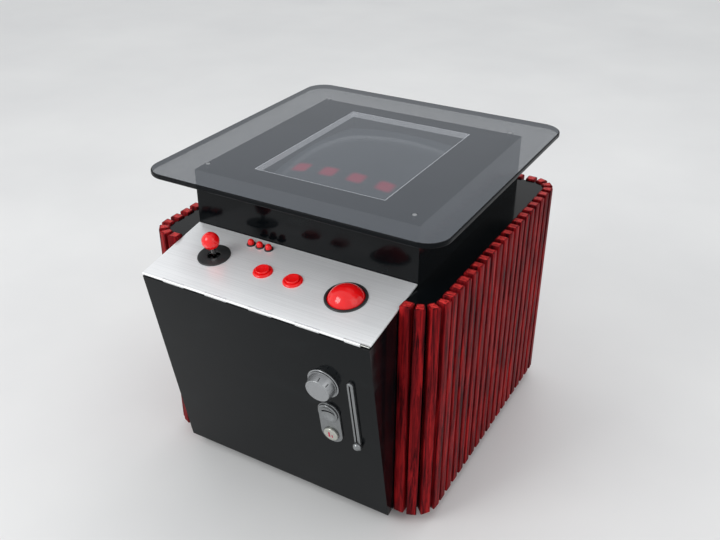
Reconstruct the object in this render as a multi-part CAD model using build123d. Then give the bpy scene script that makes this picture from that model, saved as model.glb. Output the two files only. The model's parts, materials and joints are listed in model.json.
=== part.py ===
from build123d import *

import os
from math import cos, radians, sin

# A cocktail table cabinet: a square body wrapped in upright slats, a monitor box under a glass
# table top, and a control housing on the front. Millimetres, +Z up, front towards -Y, +X to the
# player's right. Everything is drawn about the centre of the slatted body, and moved back by BODY_Y
# at the end, so that the origin is on the floor at the centre of the whole footprint.

# --- driving dimensions ---------------------------------------------------------------------

# slatted body
BODY_HALF = 324.0
BODY_Y = 53.5
CORNER_R = 55.0
SLAT_FOOT, SLAT_TOP = 28.0, 517.0
SLAT_WIDE, SLAT_DEEP = 21.0, 22.0
STAVE_INNER_WIDE = 14.0
SIDE_SLATS, SIDE_PITCH = 17, 30.6
BACK_SLATS, BACK_PITCH = 18, 30.8
STAVE_ANGLES = (5.0, 37.0, 68.0)

# carcass behind the slats
BOARD = 18.0
PANEL = 15.0
POST_WIDE, POST_DEEP = 70.0, 40.0
SHELF_TOP = 513.0
PLINTH_HALF, PLINTH_BOARD = 272.0, 18.0
SHELF_WELL_HALF = 214.0

# monitor box and table top
BOX_HALF_X, BOX_HALF_Y = 250.0, 248.0
BOX_WALL = 12.0
LID_TOP, LID_THICK = 637.0, 12.0
WINDOW_X, WINDOW_Y, WINDOW_CENTRE_Y = 296.0, 390.0, 8.0
GLASS_HALF, GLASS_R, GLASS_THICK = 323.0, 48.0, 10.0
BOLT_AT = 229.6
BOLT_HEAD_R, BOLT_SHANK_R, BOLT_NUT_R = 5.0, 3.0, 5.5

# picture tube
TUBE_X, TUBE_Y, TUBE_CORNER_R = 326.0, 420.0, 42.0
TUBE_APEX, TUBE_DOME_R = 627.0, 1000.0
TUBE_RIM, TUBE_THROAT, TUBE_END = 560.0, 400.0, 235.0
THROAT_R, NECK_R, TUBE_WALL = 58.0, 14.6, 8.0

# control housing, built square in its own frame and then leaned back by TILT.
# In that frame x is across, v runs back from the front lip and w runs up, so the control plate
# lies at w = 0 and the door's outer face at v = 0.
TILT = 10.2
LIP_Y, LIP_Z = -427.0, 489.0
PLATE_DEEP, PLATE_THICK = 180.0, 3.0
HOUSING_HALF, CHEEK = 250.0, 18.0
DOOR_TOP, DOOR_FOOT, DOOR_THICK = -7.0, -468.4, 16.0
KNUCKLES = 10
KNUCKLE_GAP = 0.6
PANEL_KNUCKLE_R, PANEL_AXIS = 2.5, (2.5, -2.5)
DOOR_KNUCKLE_R, DOOR_AXIS = 2.2, (18.4, -468.0)
LEAF, PIN_R = 1.2, 1.0
HINGE_SET = 2.2
CHEEK_RELIEF_DEEP, CHEEK_RELIEF_TALL = 4.0, 10.0

# controls, as distances from the plate's front edge
STICK_X, STICK_V = -151.0, 100.0
PIVOT_W, BALL_W, BALL_R, STICK_R = -30.0, 36.0, 17.5, 4.5
DOME_R, FRAME_HALF, FRAME_FOOT = 26.0, 32.0, -66.0
RING_R, RING_HOLE_R, RING_HALF = 21.0, 14.0, 4.5
TRUNNION_R = 2.5
ACTION_BARREL_R, SMALL_BARREL_R = 15.0, 7.4
ACTION_AT = ((-33.0, 97.0), (35.0, 96.0))
SMALL_AT = ((-104.0, 159.5), (-83.0, 159.5), (-62.0, 159.5))
TRACK_X, TRACK_V, TRACK_W = 149.5, 96.0, -15.0
TRACK_R, TRACK_CORE_R, RUNNING = 38.1, 18.0, 0.05
TRACK_HALF_X, TRACK_HALF_V, TRACK_FOOT, TRACK_WALL = 52.0, 46.0, -64.0, 4.0
ROLLER_R, ROLLER_GAP = 4.75, 0.3
ROLLER_OUT = (TRACK_R + ROLLER_R + ROLLER_GAP) * sin(radians(45))

# door hardware, as distances down the door
LOCK_X, LOCK_W = 143.0, -131.0
COIN_X, CUP_W, REJECT_W = 146.0, -205.0, -264.0
GUIDE_X, GUIDE_TOP, GUIDE_FOOT = 203.0, -102.0, -284.0
GUIDE_WIDE, GUIDE_DEEP, GUIDE_SLOT = 13.0, 6.0, 3.0
SLIDE_W, SLIDE_R = -270.0, 8.6
FLANGE_R, FLANGE_OUT = 33.0, 3.0
KNOB_R, KNOB_FOOT_R, KNOB_OUT, SPINDLE_R = 24.5, 30.0, 23.0, 6.0
CAM_FRONT, CAM_BACK, CAM_REACH = 30.5, 33.5, 80.0
CUP_R, PLATE_OUT = 21.0, 4.0
REJECT_R, REJECT_OUT, REJECT_STEM_R, REJECT_TRAVEL = 15.5, 9.5, 9.0, 4.0

# speaker and mains gland in the base board
SPEAKER_AT = (130.0, 110.0)
GLAND_AT, GLAND_R = (-190.0, 205.0), 9.0

LEAN = Location((0, LIP_Y, LIP_Z), (TILT, 0, 0))
UP_X, UP_Y, UP_Z = (0, 90, 0), (-90, 0, 0), (0, 0, 0)


# --- helpers --------------------------------------------------------------------------------

def block(x0, x1, y0, y1, z0, z1):
    """A square block between two opposite corners."""
    size = Box(x1 - x0, y1 - y0, z1 - z0)
    return Pos((x0 + x1) / 2, (y0 + y1) / 2, (z0 + z1) / 2) * size


def rod(centre, length, radius, turn=UP_Z):
    """A cylinder about its centre, lying along the axis that turn gives."""
    return Pos(*centre) * Rot(*turn) * Cylinder(radius, length)


def slab(wide, deep, corner, z0, z1, at=(0.0, 0.0)):
    """A flat plate with rounded corners between two heights."""
    outline = Pos(at[0], at[1], z0) * RectangleRounded(wide, deep, corner)
    return extrude(outline, z1 - z0)


def join(pieces):
    """Fuse a list of pieces into one."""
    whole = pieces[0]
    for piece in pieces[1:]:
        whole = whole + piece
    return whole


def group(pieces):
    """Keep a list of pieces as separate solids in one node."""
    return Compound([solid for piece in pieces for solid in piece.solids()])


def lean(piece):
    """Place a piece that was built in the control housing's own frame."""
    return LEAN * piece


def housing_point(v, w):
    """The (y, z) place of a point of the control housing's frame."""
    t = radians(TILT)
    return LIP_Y + v * cos(t) - w * sin(t), LIP_Z + v * sin(t) + w * cos(t)


def side_profile(points, x0, x1):
    """A board cut to a (y, z) outline and laid between two x planes."""
    outline = make_face(Polyline(*[(x0, y, z) for y, z in points], close=True))
    return extrude(outline, x1 - x0, dir=(1, 0, 0))


# --- slats ----------------------------------------------------------------------------------

def straight_slat():
    """An upright slat, centred on its section, outer face towards -Y."""
    return slab(SLAT_WIDE, SLAT_DEEP, 1.5, SLAT_FOOT, SLAT_TOP)


def corner_stave():
    """A tapered slat for the rounded corners, outer face towards -Y."""
    out, back = SLAT_WIDE / 2, STAVE_INNER_WIDE / 2
    half = SLAT_DEEP / 2
    corners = [(-out, -half), (out, -half), (back, half), (-back, half)]
    outline = make_face(Polyline(*[(x, y, SLAT_FOOT) for x, y in corners], close=True))
    return fillet(extrude(outline, SLAT_TOP - SLAT_FOOT).edges().filter_by(Axis.Z), 1.2)


def row_places(count, pitch):
    """Evenly spaced places either side of zero."""
    return [(i - (count - 1) / 2) * pitch for i in range(count)]


def slat_row(slat, count, pitch, turn):
    """A straight row of slats on the side of the body that turn faces."""
    mid = BODY_HALF - SLAT_DEEP / 2
    return [Rot(0, 0, turn) * Pos(x, -mid, 0) * slat for x in row_places(count, pitch)]


def corner_slats(slat, stave):
    """The staves round all four corners, and the two front slats beside the control housing."""
    centre = BODY_HALF - CORNER_R
    radius = CORNER_R - SLAT_DEEP / 2
    right_side = []
    for angle in STAVE_ANGLES:
        away = (centre + radius * cos(radians(angle)), -centre - radius * sin(radians(angle)))
        right_side.append(Pos(*away, 0) * Rot(0, 0, 90 - angle) * stave)
    front_slat = Pos((BACK_SLATS - 1) / 2 * BACK_PITCH, -(BODY_HALF - SLAT_DEEP / 2), 0) * slat
    front_right = right_side + [front_slat]
    back_right = [piece.mirror(Plane.XZ) for piece in right_side]
    return front_right + back_right + [p.mirror(Plane.YZ) for p in front_right + back_right]


# --- carcass --------------------------------------------------------------------------------

def shell_half():
    """Half the width of the carcass inside the slats."""
    return BODY_HALF - SLAT_DEEP


def base_board():
    """The floor of the cabinet, with its tongue under the control housing."""
    half = shell_half()
    board = slab(2 * half, 2 * half, CORNER_R - SLAT_DEEP, SLAT_FOOT, SLAT_FOOT + BOARD)
    inner = HOUSING_HALF - CHEEK - 0.3
    leaf_back = DOOR_AXIS[0] + DOOR_KNUCKLE_R
    low = housing_point(leaf_back, DOOR_FOOT)
    tongue_top = SLAT_FOOT + BOARD
    rise = (tongue_top - low[1]) / cos(radians(TILT))
    high = housing_point(leaf_back, DOOR_FOOT + rise)
    foot_y = low[0] + (low[1] - SLAT_FOOT) * sin(radians(TILT)) / cos(radians(TILT))
    lap = -half + 1
    outline = [(foot_y, SLAT_FOOT), (high[0], tongue_top), (lap, tongue_top), (lap, SLAT_FOOT)]
    board = board + side_profile(outline, -inner, inner)
    middle = SLAT_FOOT + BOARD / 2
    for place in HexLocations(14.0, 3, 3):
        board -= Pos(*SPEAKER_AT, middle) * place * Cylinder(5.0, 2 * BOARD)
    return board - rod((*GLAND_AT, middle), 2 * BOARD, GLAND_R)


def plinth_frame():
    """Four boards set back under the base, which the cabinet stands on."""
    half, thick = PLINTH_HALF, PLINTH_BOARD
    top = SLAT_FOOT
    front = block(-half, half, -half, -half + thick, 0, top)
    side = block(half - thick, half, -half + thick, half - thick, 0, top)
    return [front, front.mirror(Plane.XZ), side, side.mirror(Plane.YZ)]


def corner_post():
    """The rounded post in one back corner, between the base board and the shelf."""
    half = shell_half()
    post = block(half - POST_WIDE, half, half - POST_DEEP, half, SLAT_FOOT + BOARD, SHELF_TOP - BOARD)
    edge = post.edges().filter_by(Axis.Z).sort_by(lambda e: e.center().X + e.center().Y)[-1]
    return fillet(edge, CORNER_R - SLAT_DEEP)


def corner_posts():
    """All four posts."""
    post = corner_post()
    right = [post, post.mirror(Plane.XZ)]
    return right + [piece.mirror(Plane.YZ) for piece in right]


def side_panel():
    """The right-hand panel between its two posts."""
    half = shell_half()
    reach = half - POST_DEEP
    return block(half - PANEL, half, -reach, reach, SLAT_FOOT + BOARD, SHELF_TOP - BOARD)


def back_panel():
    """The back panel between its two posts."""
    half = shell_half()
    reach = half - POST_WIDE
    return block(-reach, reach, half - PANEL, half, SLAT_FOOT + BOARD, SHELF_TOP - BOARD)


def top_shelf():
    """The board round the foot of the monitor box, notched for the control housing."""
    half = shell_half()
    shelf = slab(2 * half, 2 * half, CORNER_R - SLAT_DEEP, SHELF_TOP - BOARD, SHELF_TOP)
    low, high = SHELF_TOP - 2 * BOARD, SHELF_TOP + BOARD
    shelf -= block(-SHELF_WELL_HALF, SHELF_WELL_HALF, -SHELF_WELL_HALF, SHELF_WELL_HALF, low, high)
    notch = HOUSING_HALF + 0.5
    return shelf - block(-notch, notch, -half - 1, -BOX_HALF_Y - 3, low, high)


# --- monitor box and table top --------------------------------------------------------------

def monitor_box_walls():
    """The four walls between the shelf and the lid."""
    x, y = BOX_HALF_X, BOX_HALF_Y
    low, high = SHELF_TOP, LID_TOP - LID_THICK
    front = block(-x, x, -y, -y + BOX_WALL, low, high)
    side = block(x - BOX_WALL, x, -y + BOX_WALL, y - BOX_WALL, low, high)
    return [front, front.mirror(Plane.XZ), side, side.mirror(Plane.YZ)]


def bolt_places():
    """The four corners that the table bolts pass through."""
    return [(x, y) for x in (-BOLT_AT, BOLT_AT) for y in (-BOLT_AT, BOLT_AT)]


def monitor_box_lid():
    """The top of the monitor box, with the window that the screen is seen through."""
    lid = block(-BOX_HALF_X, BOX_HALF_X, -BOX_HALF_Y, BOX_HALF_Y, LID_TOP - LID_THICK, LID_TOP)
    lid -= Pos(0, WINDOW_CENTRE_Y, LID_TOP) * Box(WINDOW_X, WINDOW_Y, 4 * LID_THICK)
    for x, y in bolt_places():
        lid -= rod((x, y, LID_TOP), 4 * LID_THICK, BOLT_SHANK_R)
    return lid


def window_trim():
    """Four thin pale strips standing on the tube side of the window's edge."""
    thick, low = 1.6, LID_TOP - LID_THICK
    x, y = WINDOW_X / 2, WINDOW_Y / 2
    across = block(-x, x, WINDOW_CENTRE_Y + y - thick, WINDOW_CENTRE_Y + y, low, LID_TOP)
    along = block(x - thick, x, WINDOW_CENTRE_Y - y + thick, WINDOW_CENTRE_Y + y - thick, low, LID_TOP)
    mid = Plane((0, WINDOW_CENTRE_Y, 0), z_dir=(0, 1, 0))
    return [across, across.mirror(mid), along, along.mirror(Plane.YZ)]


def tube_front(grow):
    """The domed front of the picture tube, grown by a clearance."""
    wide, deep, corner = TUBE_X + 2 * grow, TUBE_Y + 2 * grow, TUBE_CORNER_R + grow
    block_front = slab(wide, deep, corner, TUBE_RIM, TUBE_APEX + 2 * grow + 1, (0, WINDOW_CENTRE_Y))
    dome = Pos(0, WINDOW_CENTRE_Y, TUBE_APEX - TUBE_DOME_R) * Sphere(TUBE_DOME_R + grow)
    return block_front & dome


def tube_funnel(grow):
    """The funnel behind the tube's front, grown or shrunk by a wall."""
    wide, deep, corner = TUBE_X + 2 * grow, TUBE_Y + 2 * grow, TUBE_CORNER_R + grow
    throat = THROAT_R + grow
    rim = Pos(0, WINDOW_CENTRE_Y, TUBE_RIM) * RectangleRounded(wide, deep, corner)
    end = Pos(0, WINDOW_CENTRE_Y, TUBE_THROAT - grow)
    foot = end * RectangleRounded(2 * throat, 2 * throat, throat - 1)
    return loft([foot, rim])


def crt_tube():
    """The hollow picture tube: domed front, funnel and neck, pointing down into the cabinet."""
    neck = rod((0, WINDOW_CENTRE_Y, (TUBE_END + TUBE_THROAT) / 2), TUBE_THROAT - TUBE_END, NECK_R)
    hollow = tube_funnel(-TUBE_WALL)
    hollow += slab(TUBE_X - 2 * TUBE_WALL, TUBE_Y - 2 * TUBE_WALL, TUBE_CORNER_R - TUBE_WALL,
                   TUBE_RIM, TUBE_RIM + 20, (0, WINDOW_CENTRE_Y))
    return tube_front(0) + tube_funnel(0) + neck - hollow


def screen_bezel():
    """The dark surround that closes the gap between the window and the tube."""
    high = LID_TOP - LID_THICK
    low = high - 40
    outer = slab(TUBE_X + 24, TUBE_Y + 24, 12, low, high, (0, WINDOW_CENTRE_Y))
    sight_top = Pos(0, WINDOW_CENTRE_Y, high) * Rectangle(WINDOW_X - 4, WINDOW_Y - 4)
    sight_foot = Pos(0, WINDOW_CENTRE_Y, low) * Rectangle(WINDOW_X - 12, WINDOW_Y - 16)
    return outer - loft([sight_foot, sight_top]) - tube_front(0.5)


def monitor_frame():
    """The steel frame round the tube's rim, and the arms that carry it from the box walls."""
    low, high = TUBE_RIM + 4, TUBE_RIM + 20
    inner_x, inner_y, bar = TUBE_X / 2 + 1, TUBE_Y / 2 + 1, 8.0
    y0, y1 = WINDOW_CENTRE_Y - inner_y, WINDOW_CENTRE_Y + inner_y
    across = block(-inner_x, inner_x, y1, y1 + bar, low, high)
    mid = Plane((0, WINDOW_CENTRE_Y, 0), z_dir=(0, 1, 0))
    along = block(inner_x, inner_x + bar, y0 - bar, y1 + bar, low, high)
    wall = BOX_HALF_X - BOX_WALL
    for y in (y0 + 30, y1 - 30):
        along += block(inner_x + bar - 1, wall, y - 12, y + 12, low, low + 5)
    return [across, across.mirror(mid), along, along.mirror(Plane.YZ)]


def deflection_yoke():
    """The coil round the tube's neck."""
    middle = TUBE_THROAT - 32
    coil = Pos(0, WINDOW_CENTRE_Y, middle) * Cone(34, 54, 56)
    return coil - rod((0, WINDOW_CENTRE_Y, middle), 80, NECK_R + 0.6)


def table_glass():
    """The glass top with four counterbored bolt holes."""
    low, high = LID_TOP, LID_TOP + GLASS_THICK
    glass = slab(2 * GLASS_HALF, 2 * GLASS_HALF, GLASS_R, low, high)
    faces = glass.faces().sort_by(Axis.Z)
    glass = fillet(faces[0].edges() + faces[-1].edges(), 2.5)
    for x, y in bolt_places():
        glass -= rod((x, y, low), 4 * GLASS_THICK, BOLT_SHANK_R + 0.4)
        glass -= rod((x, y, high - 2), 4.0, BOLT_HEAD_R + 0.2)
    return glass


def glass_bolts():
    """The bolts through the glass and the lid, and the nuts under the lid."""
    head_top = LID_TOP + GLASS_THICK
    lid_foot = LID_TOP - LID_THICK
    shank_top, shank_foot = head_top - 4, lid_foot - 12
    pieces = []
    for x, y in bolt_places():
        head = rod((x, y, head_top - 2), 4.0, BOLT_HEAD_R)
        head = fillet(head.edges().sort_by(Axis.Z)[-1], 1.2)
        shank = rod((x, y, (shank_top + shank_foot) / 2), shank_top - shank_foot, BOLT_SHANK_R)
        nut = extrude(Pos(x, y, lid_foot - 7) * RegularPolygon(BOLT_NUT_R, 6, major_radius=False), 7)
        nut -= rod((x, y, lid_foot), 30, BOLT_SHANK_R)
        pieces += [head + shank, nut]
    return pieces


# --- things inside the cabinet --------------------------------------------------------------

def board_on_wall(height, depth, parts):
    """A circuit board on pillars against the right-hand panel, with its larger parts."""
    wall = shell_half() - PANEL
    face = wall - 12
    low = 250.0
    board = block(face - 1.6, face, -depth / 2, depth / 2, low, low + height)
    for y in (-depth / 2 + 10, depth / 2 - 10):
        for z in (low + 10, low + height - 10):
            board += rod((wall - 6, y, z), 12, 4, UP_X)
    for y, z, wide, tall, deep in parts:
        board += block(face - 1.6 - deep, face - 1, y, y + wide, low + z, low + z + tall)
    return board


def monitor_board():
    """The monitor's chassis board on the right-hand panel."""
    parts = [(-90, 20, 50, 60, 42), (-20, 20, 70, 12, 30), (-20, 60, 30, 30, 35), (40, 60, 44, 44, 38)]
    return board_on_wall(150, 220, parts)


def game_board():
    """The game's board on the left-hand panel, with two rows of chips."""
    chips = []
    for row in range(3):
        for column in range(6):
            chips.append((-118 + 40 * column, 24 + 44 * row, 26, 10, 6))
    return board_on_wall(170, 270, chips).mirror(Plane.YZ)


def power_supply():
    """The power supply in its cover on the base board, with a fin row."""
    low = SLAT_FOOT + BOARD
    case = block(-225, -95, 60, 160, low, low + 62)
    for i in range(7):
        case -= block(-215 + 17 * i, -207 + 17 * i, 70, 150, low + 50, low + 80)
    return case


def speaker():
    """The speaker over the holes in the base board."""
    x, y = SPEAKER_AT
    low = SLAT_FOOT + BOARD
    rim = rod((x, y, low + 3), 6, 58)
    basket = Pos(x, y, low + 23) * Cone(50, 26, 34)
    magnet = rod((x, y, low + 48), 18, 34)
    hollow = Pos(x, y, low + 11) * Cone(46, 20, 26)
    return rim + basket + magnet - hollow


def cord_gland():
    """The gland in the base board that a mains lead would leave through."""
    mid = SLAT_FOOT + BOARD / 2
    barrel = rod((*GLAND_AT, mid), BOARD + 14, GLAND_R)
    barrel += extrude(Pos(*GLAND_AT, SLAT_FOOT + BOARD) * RegularPolygon(13, 6, major_radius=False), 6)
    barrel += rod((*GLAND_AT, SLAT_FOOT - 3), 6, 13)
    return barrel - rod((*GLAND_AT, mid), 3 * BOARD, 4.5)


def coin_box():
    """The open steel cash box behind the door, its front leaning with the door."""
    low, high, wall, back = SLAT_FOOT + BOARD, SLAT_FOOT + BOARD + 105, 2.0, -160.0
    foot_y, mouth_y = -320.0, -338.0
    outline = [(foot_y, low), (mouth_y, high), (back, high), (back, low)]
    front = [(foot_y + wall, low + wall), (mouth_y + wall, high + 1)]
    inside = front + [(back - wall, high + 1), (back - wall, low + wall)]
    left, right = 78.0, 211.0
    return side_profile(outline, left, right) - side_profile(inside, left + wall, right - wall)


# --- control housing ------------------------------------------------------------------------

def right_cheek():
    """The right-hand side of the control housing, relieved where the door's foot swings."""
    inner, outer = HOUSING_HALF - CHEEK, HOUSING_HALF
    plate_foot = -PLATE_THICK - 0.2
    front_v = DOOR_THICK + 0.3
    body = -shell_half() - 0.2
    shelf_foot = SHELF_TOP - BOARD + 0.2
    t = radians(TILT)
    back_y = -BOX_HALF_Y - 3.5
    back_v = (back_y - LIP_Y + plate_foot * sin(t)) / cos(t)
    foot_w = (SLAT_FOOT - LIP_Z - front_v * sin(t)) / cos(t)
    relief_foot = (housing_point(front_v, foot_w)[0] + CHEEK_RELIEF_DEEP, SLAT_FOOT)
    outline = [
        housing_point(front_v, foot_w + CHEEK_RELIEF_TALL),
        relief_foot,
        (body, SLAT_FOOT),
        (body, shelf_foot),
        (back_y, shelf_foot),
        housing_point(back_v, plate_foot),
        housing_point(front_v, plate_foot),
    ]
    return side_profile(outline, inner, outer)


def housing_rails():
    """The rail under the plate's hinge, and the battens that the door closes on."""
    inner = HOUSING_HALF - CHEEK
    rail_top = -PLATE_THICK - HINGE_SET - LEAF
    rail = block(-inner, inner, 17.5, 37.5, -40, rail_top)
    batten = block(inner - 20, inner, 17.5, 29.5, -430, -46)
    return [lean(piece) for piece in (rail, batten, batten.mirror(Plane.YZ))]


def knuckle_spans(first):
    """Every second stretch of a hinge, starting with the first or the second."""
    pitch = 2 * HOUSING_HALF / KNUCKLES
    starts = [-HOUSING_HALF + pitch * i for i in range(first, KNUCKLES, 2)]
    return [(x + KNUCKLE_GAP / 2, x + pitch - KNUCKLE_GAP / 2) for x in starts]


def knuckle(span, axis, radius, web):
    """One hinge knuckle on its web, bored for the pin."""
    x0, x1 = span
    middle = ((x0 + x1) / 2, axis[0], axis[1])
    barrel = rod(middle, x1 - x0, radius, UP_X) + block(x0, x1, *web)
    return barrel - rod(middle, x1 - x0 + 2, PIN_R + RUNNING, UP_X)


def control_plate():
    """The steel control plate, rolled into hinge knuckles along its front edge."""
    half = HOUSING_HALF
    v, w = PANEL_AXIS
    clear = 2 * PANEL_KNUCKLE_R + 0.4
    plate = block(-half, half, clear, PLATE_DEEP, -PLATE_THICK, 0)
    web = (v, clear + 0.5, -PLATE_THICK, 0)
    for span in knuckle_spans(0):
        plate += knuckle(span, PANEL_AXIS, PANEL_KNUCKLE_R, web)
    plate -= rod((STICK_X, STICK_V, 0), 20, 15)
    for x, y in ACTION_AT:
        plate -= rod((x, y, 0), 20, ACTION_BARREL_R)
    for x, y in SMALL_AT:
        plate -= rod((x, y, 0), 20, SMALL_BARREL_R)
    plate -= rod((TRACK_X, TRACK_V, 0), 20, 37.5)
    return plate


def fixed_leaves():
    """The leaf on the housing rail and the leaf on the base board's front edge."""
    half = HOUSING_HALF - CHEEK - 0.5
    v, w = PANEL_AXIS
    top = -PLATE_THICK - HINGE_SET
    upper = block(-half, half, v, 34, top - LEAF, top)
    for x0, x1 in knuckle_spans(1):
        span = (max(x0, -half), min(x1, half))
        upper += knuckle(span, PANEL_AXIS, PANEL_KNUCKLE_R, (v - 1.4, v + 1.4, top - LEAF, w))
    v, w = DOOR_AXIS
    back = v + DOOR_KNUCKLE_R
    lower = block(-half, half, back - LEAF, back, w + 3, w + 14)
    for x0, x1 in knuckle_spans(1):
        span = (max(x0, -half), min(x1, half))
        lower += knuckle(span, DOOR_AXIS, DOOR_KNUCKLE_R, (back - LEAF, back, w, w + 3.5))
    return [lean(upper), lean(lower)]


def hinge_pins():
    """The long pin under the plate's front edge and the shorter one at the door's foot."""
    upper = rod((0, *PANEL_AXIS), 2 * (HOUSING_HALF - 1), PIN_R, UP_X)
    lower = rod((0, *DOOR_AXIS), 2 * (HOUSING_HALF - CHEEK - 1), PIN_R, UP_X)
    return [lean(upper), lean(lower)]


# --- joystick -------------------------------------------------------------------------------

def joystick_escutcheon():
    """The black disc round the stick, on top of the plate."""
    disc = rod((STICK_X, STICK_V, 1.25), 2.5, 33)
    disc = fillet(disc.edges().sort_by(Axis.Z)[-1], 1.2)
    return disc - rod((STICK_X, STICK_V, 1), 10, 12.5)


def joystick_frame():
    """The cradle under the plate that carries the gimbal."""
    x, v, half = STICK_X, STICK_V, FRAME_HALF
    top = -PLATE_THICK
    frame = block(x - half, x + half, v - half, v + half, top - 2, top)
    frame -= rod((x, v, top), 20, 19)
    for side in (-1, 1):
        wall = sorted((x + side * half, x + side * (half - 6)))
        frame += block(*wall, v - half, v + half, FRAME_FOOT, top - 1)
    frame += block(x - half, x + half, v - half, v + half, FRAME_FOOT, FRAME_FOOT + 3)
    frame -= rod((x, v, FRAME_FOOT), 20, 9)
    return frame - rod((x, v, PIVOT_W), 4 * half, TRUNNION_R + RUNNING, UP_X)


def gimbal_ring():
    """The ring that rocks in the frame and carries the stick's cross pin."""
    x, v = STICK_X, STICK_V
    ring = rod((x, v, PIVOT_W), 2 * RING_HALF, RING_R)
    inner, outer = RING_R - 4, FRAME_HALF
    for side in (-1, 1):
        middle = (x + side * (inner + outer) / 2, v, PIVOT_W)
        ring += rod(middle, outer - inner, TRUNNION_R, UP_X)
    ring -= rod((x, v, PIVOT_W), 20, RING_HOLE_R)
    return ring - rod((x, v, PIVOT_W), 3 * RING_R, TRUNNION_R + RUNNING, UP_Y)


def joystick_shaft():
    """The stick with its hub, cross pin and the actuator that works the switches."""
    x, v = STICK_X, STICK_V
    top, foot = BALL_W - 8, FRAME_FOOT + 5
    shaft = rod((x, v, (top + foot) / 2), top - foot, STICK_R)
    hub = rod((x, v, PIVOT_W), 16, 7.5)
    pin = rod((x, v, PIVOT_W), 2 * RING_R - 0.5, TRUNNION_R, UP_Y)
    actuator = rod((x, v, foot + 5), 9, 6.5)
    return shaft + hub + pin + actuator


def joystick_ball():
    """The round red top, flat where it meets the shaft."""
    ball = Pos(STICK_X, STICK_V, BALL_W) * Sphere(BALL_R)
    ball -= block(STICK_X - 20, STICK_X + 20, STICK_V - 20, STICK_V + 20, BALL_W - 30, BALL_W - 16)
    return ball - rod((STICK_X, STICK_V, BALL_W - 18), 20, STICK_R)


def joystick_dome():
    """The dust dome on the stick, round about the pivot so that it turns under the opening."""
    cap = Pos(STICK_X, STICK_V, PIVOT_W) * (Sphere(DOME_R) - Sphere(DOME_R - 2))
    keep = block(STICK_X - 18, STICK_X + 18, STICK_V - 18, STICK_V + 18, PIVOT_W + 16.5, PIVOT_W + 40)
    return (cap & keep) - rod((STICK_X, STICK_V, 0), 40, STICK_R)


def control_switches():
    """The four switches round the actuator and one under each button."""
    switches = []
    low = FRAME_FOOT + 4
    for turn in range(4):
        body = block(12.2, 24, -10, 10, low, low + 10)
        switches.append(Pos(STICK_X, STICK_V, 0) * Rot(0, 0, 90 * turn) * body)
    for x, v in ACTION_AT:
        switches.append(block(x - 14, x + 14, v - 5, v + 5, -54, -38.5))
    for x, v in SMALL_AT:
        switches.append(block(x - 5, x + 5, v - 8, v + 8, -36, -25.5))
    return switches


# --- buttons --------------------------------------------------------------------------------

def button_barrel(x, v, barrel_r, bore_r, collar_r, collar_high, depth):
    """A button's housing through the plate, with its collar above."""
    barrel = rod((x, v, (collar_high - depth) / 2), collar_high + depth, barrel_r)
    collar = rod((x, v, collar_high / 2), collar_high, collar_r)
    collar = fillet(collar.edges().sort_by(Axis.Z)[-1], collar_high * 0.45)
    return barrel + collar - rod((x, v, 0), 4 * depth, bore_r)


def button_nut(x, v, barrel_r, nut_r):
    """The nut that clamps a button's housing under the plate."""
    nut = extrude(Pos(x, v, -PLATE_THICK - 5) * RegularPolygon(nut_r, 8, major_radius=False), 5)
    return nut - rod((x, v, -PLATE_THICK), 30, barrel_r)


def button_barrels():
    """The housings and nuts of all five buttons."""
    pieces = []
    for x, v in ACTION_AT:
        pieces.append(button_barrel(x, v, ACTION_BARREL_R, 13.6, 19.5, 4.0, 34))
        pieces.append(button_nut(x, v, ACTION_BARREL_R, 20))
    for x, v in SMALL_AT:
        pieces.append(button_barrel(x, v, SMALL_BARREL_R, 6.6, 9.2, 2.4, 22))
        pieces.append(button_nut(x, v, SMALL_BARREL_R, 9.6))
    return pieces


def button_cap(x, v, radius, top, foot, crown):
    """A push button's moving cap, rounded at its top."""
    cap = rod((x, v, (top + foot) / 2), top - foot, radius)
    return fillet(cap.edges().sort_by(Axis.Z)[-1], crown)


def action_button(place):
    """One action button's cap with its stem."""
    cap = button_cap(*place, 13.5, 8.0, -14.0, 3.0)
    return cap + rod((*place, -24.0), 22.0, 4.0)


def small_button(place):
    """One small button's tall domed cap with its stem."""
    cap = button_cap(*place, 6.4, 12.0, -10.0, 5.4)
    return cap + rod((*place, -16.0), 14.0, 2.0)


# --- trackball ------------------------------------------------------------------------------

def trackball_ring():
    """The dark ring round the ball, on top of the plate."""
    ring = rod((TRACK_X, TRACK_V, 1.5), 3, 40.5)
    ring = fillet(ring.edges().sort_by(Axis.Z)[-1], 1.4)
    return ring - rod((TRACK_X, TRACK_V, 1.5), 10, 35.6)


def trackball_housing():
    """The open box that carries the ball's rollers and its third support."""
    x, v = TRACK_X, TRACK_V
    hx, hv, wall = TRACK_HALF_X, TRACK_HALF_V, TRACK_WALL
    top = -PLATE_THICK
    box = block(x - hx, x + hx, v - hv, v + hv, TRACK_FOOT, top)
    ix, iv = hx - wall, hv - wall
    box -= block(x - ix, x + ix, v - iv, v + iv, TRACK_FOOT + wall, top + 1)
    w = TRACK_W - ROLLER_OUT
    box += block(x + 19, x + 23, v + ROLLER_OUT - 7, v + hv - wall, TRACK_FOOT + 1, w + 7)
    box += block(x + ROLLER_OUT - 7, x + hx - wall, v + 19, v + 23, TRACK_FOOT + 1, w + 7)
    third = rod((x - 27, v - 27, TRACK_FOOT + 7), 12, 6)
    box += third
    box -= Pos(x, v, TRACK_W) * Sphere(TRACK_R + 0.6)
    box -= rod((x - 15, v + ROLLER_OUT, w), 100, ROLLER_R + RUNNING, UP_X)
    return box - rod((x + ROLLER_OUT, v - 10, w), 100, ROLLER_R + RUNNING, UP_Y)


def trackball_core():
    """The ball's hidden centre, which turns only front to back."""
    return Pos(TRACK_X, TRACK_V, TRACK_W) * Sphere(TRACK_CORE_R)


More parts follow.
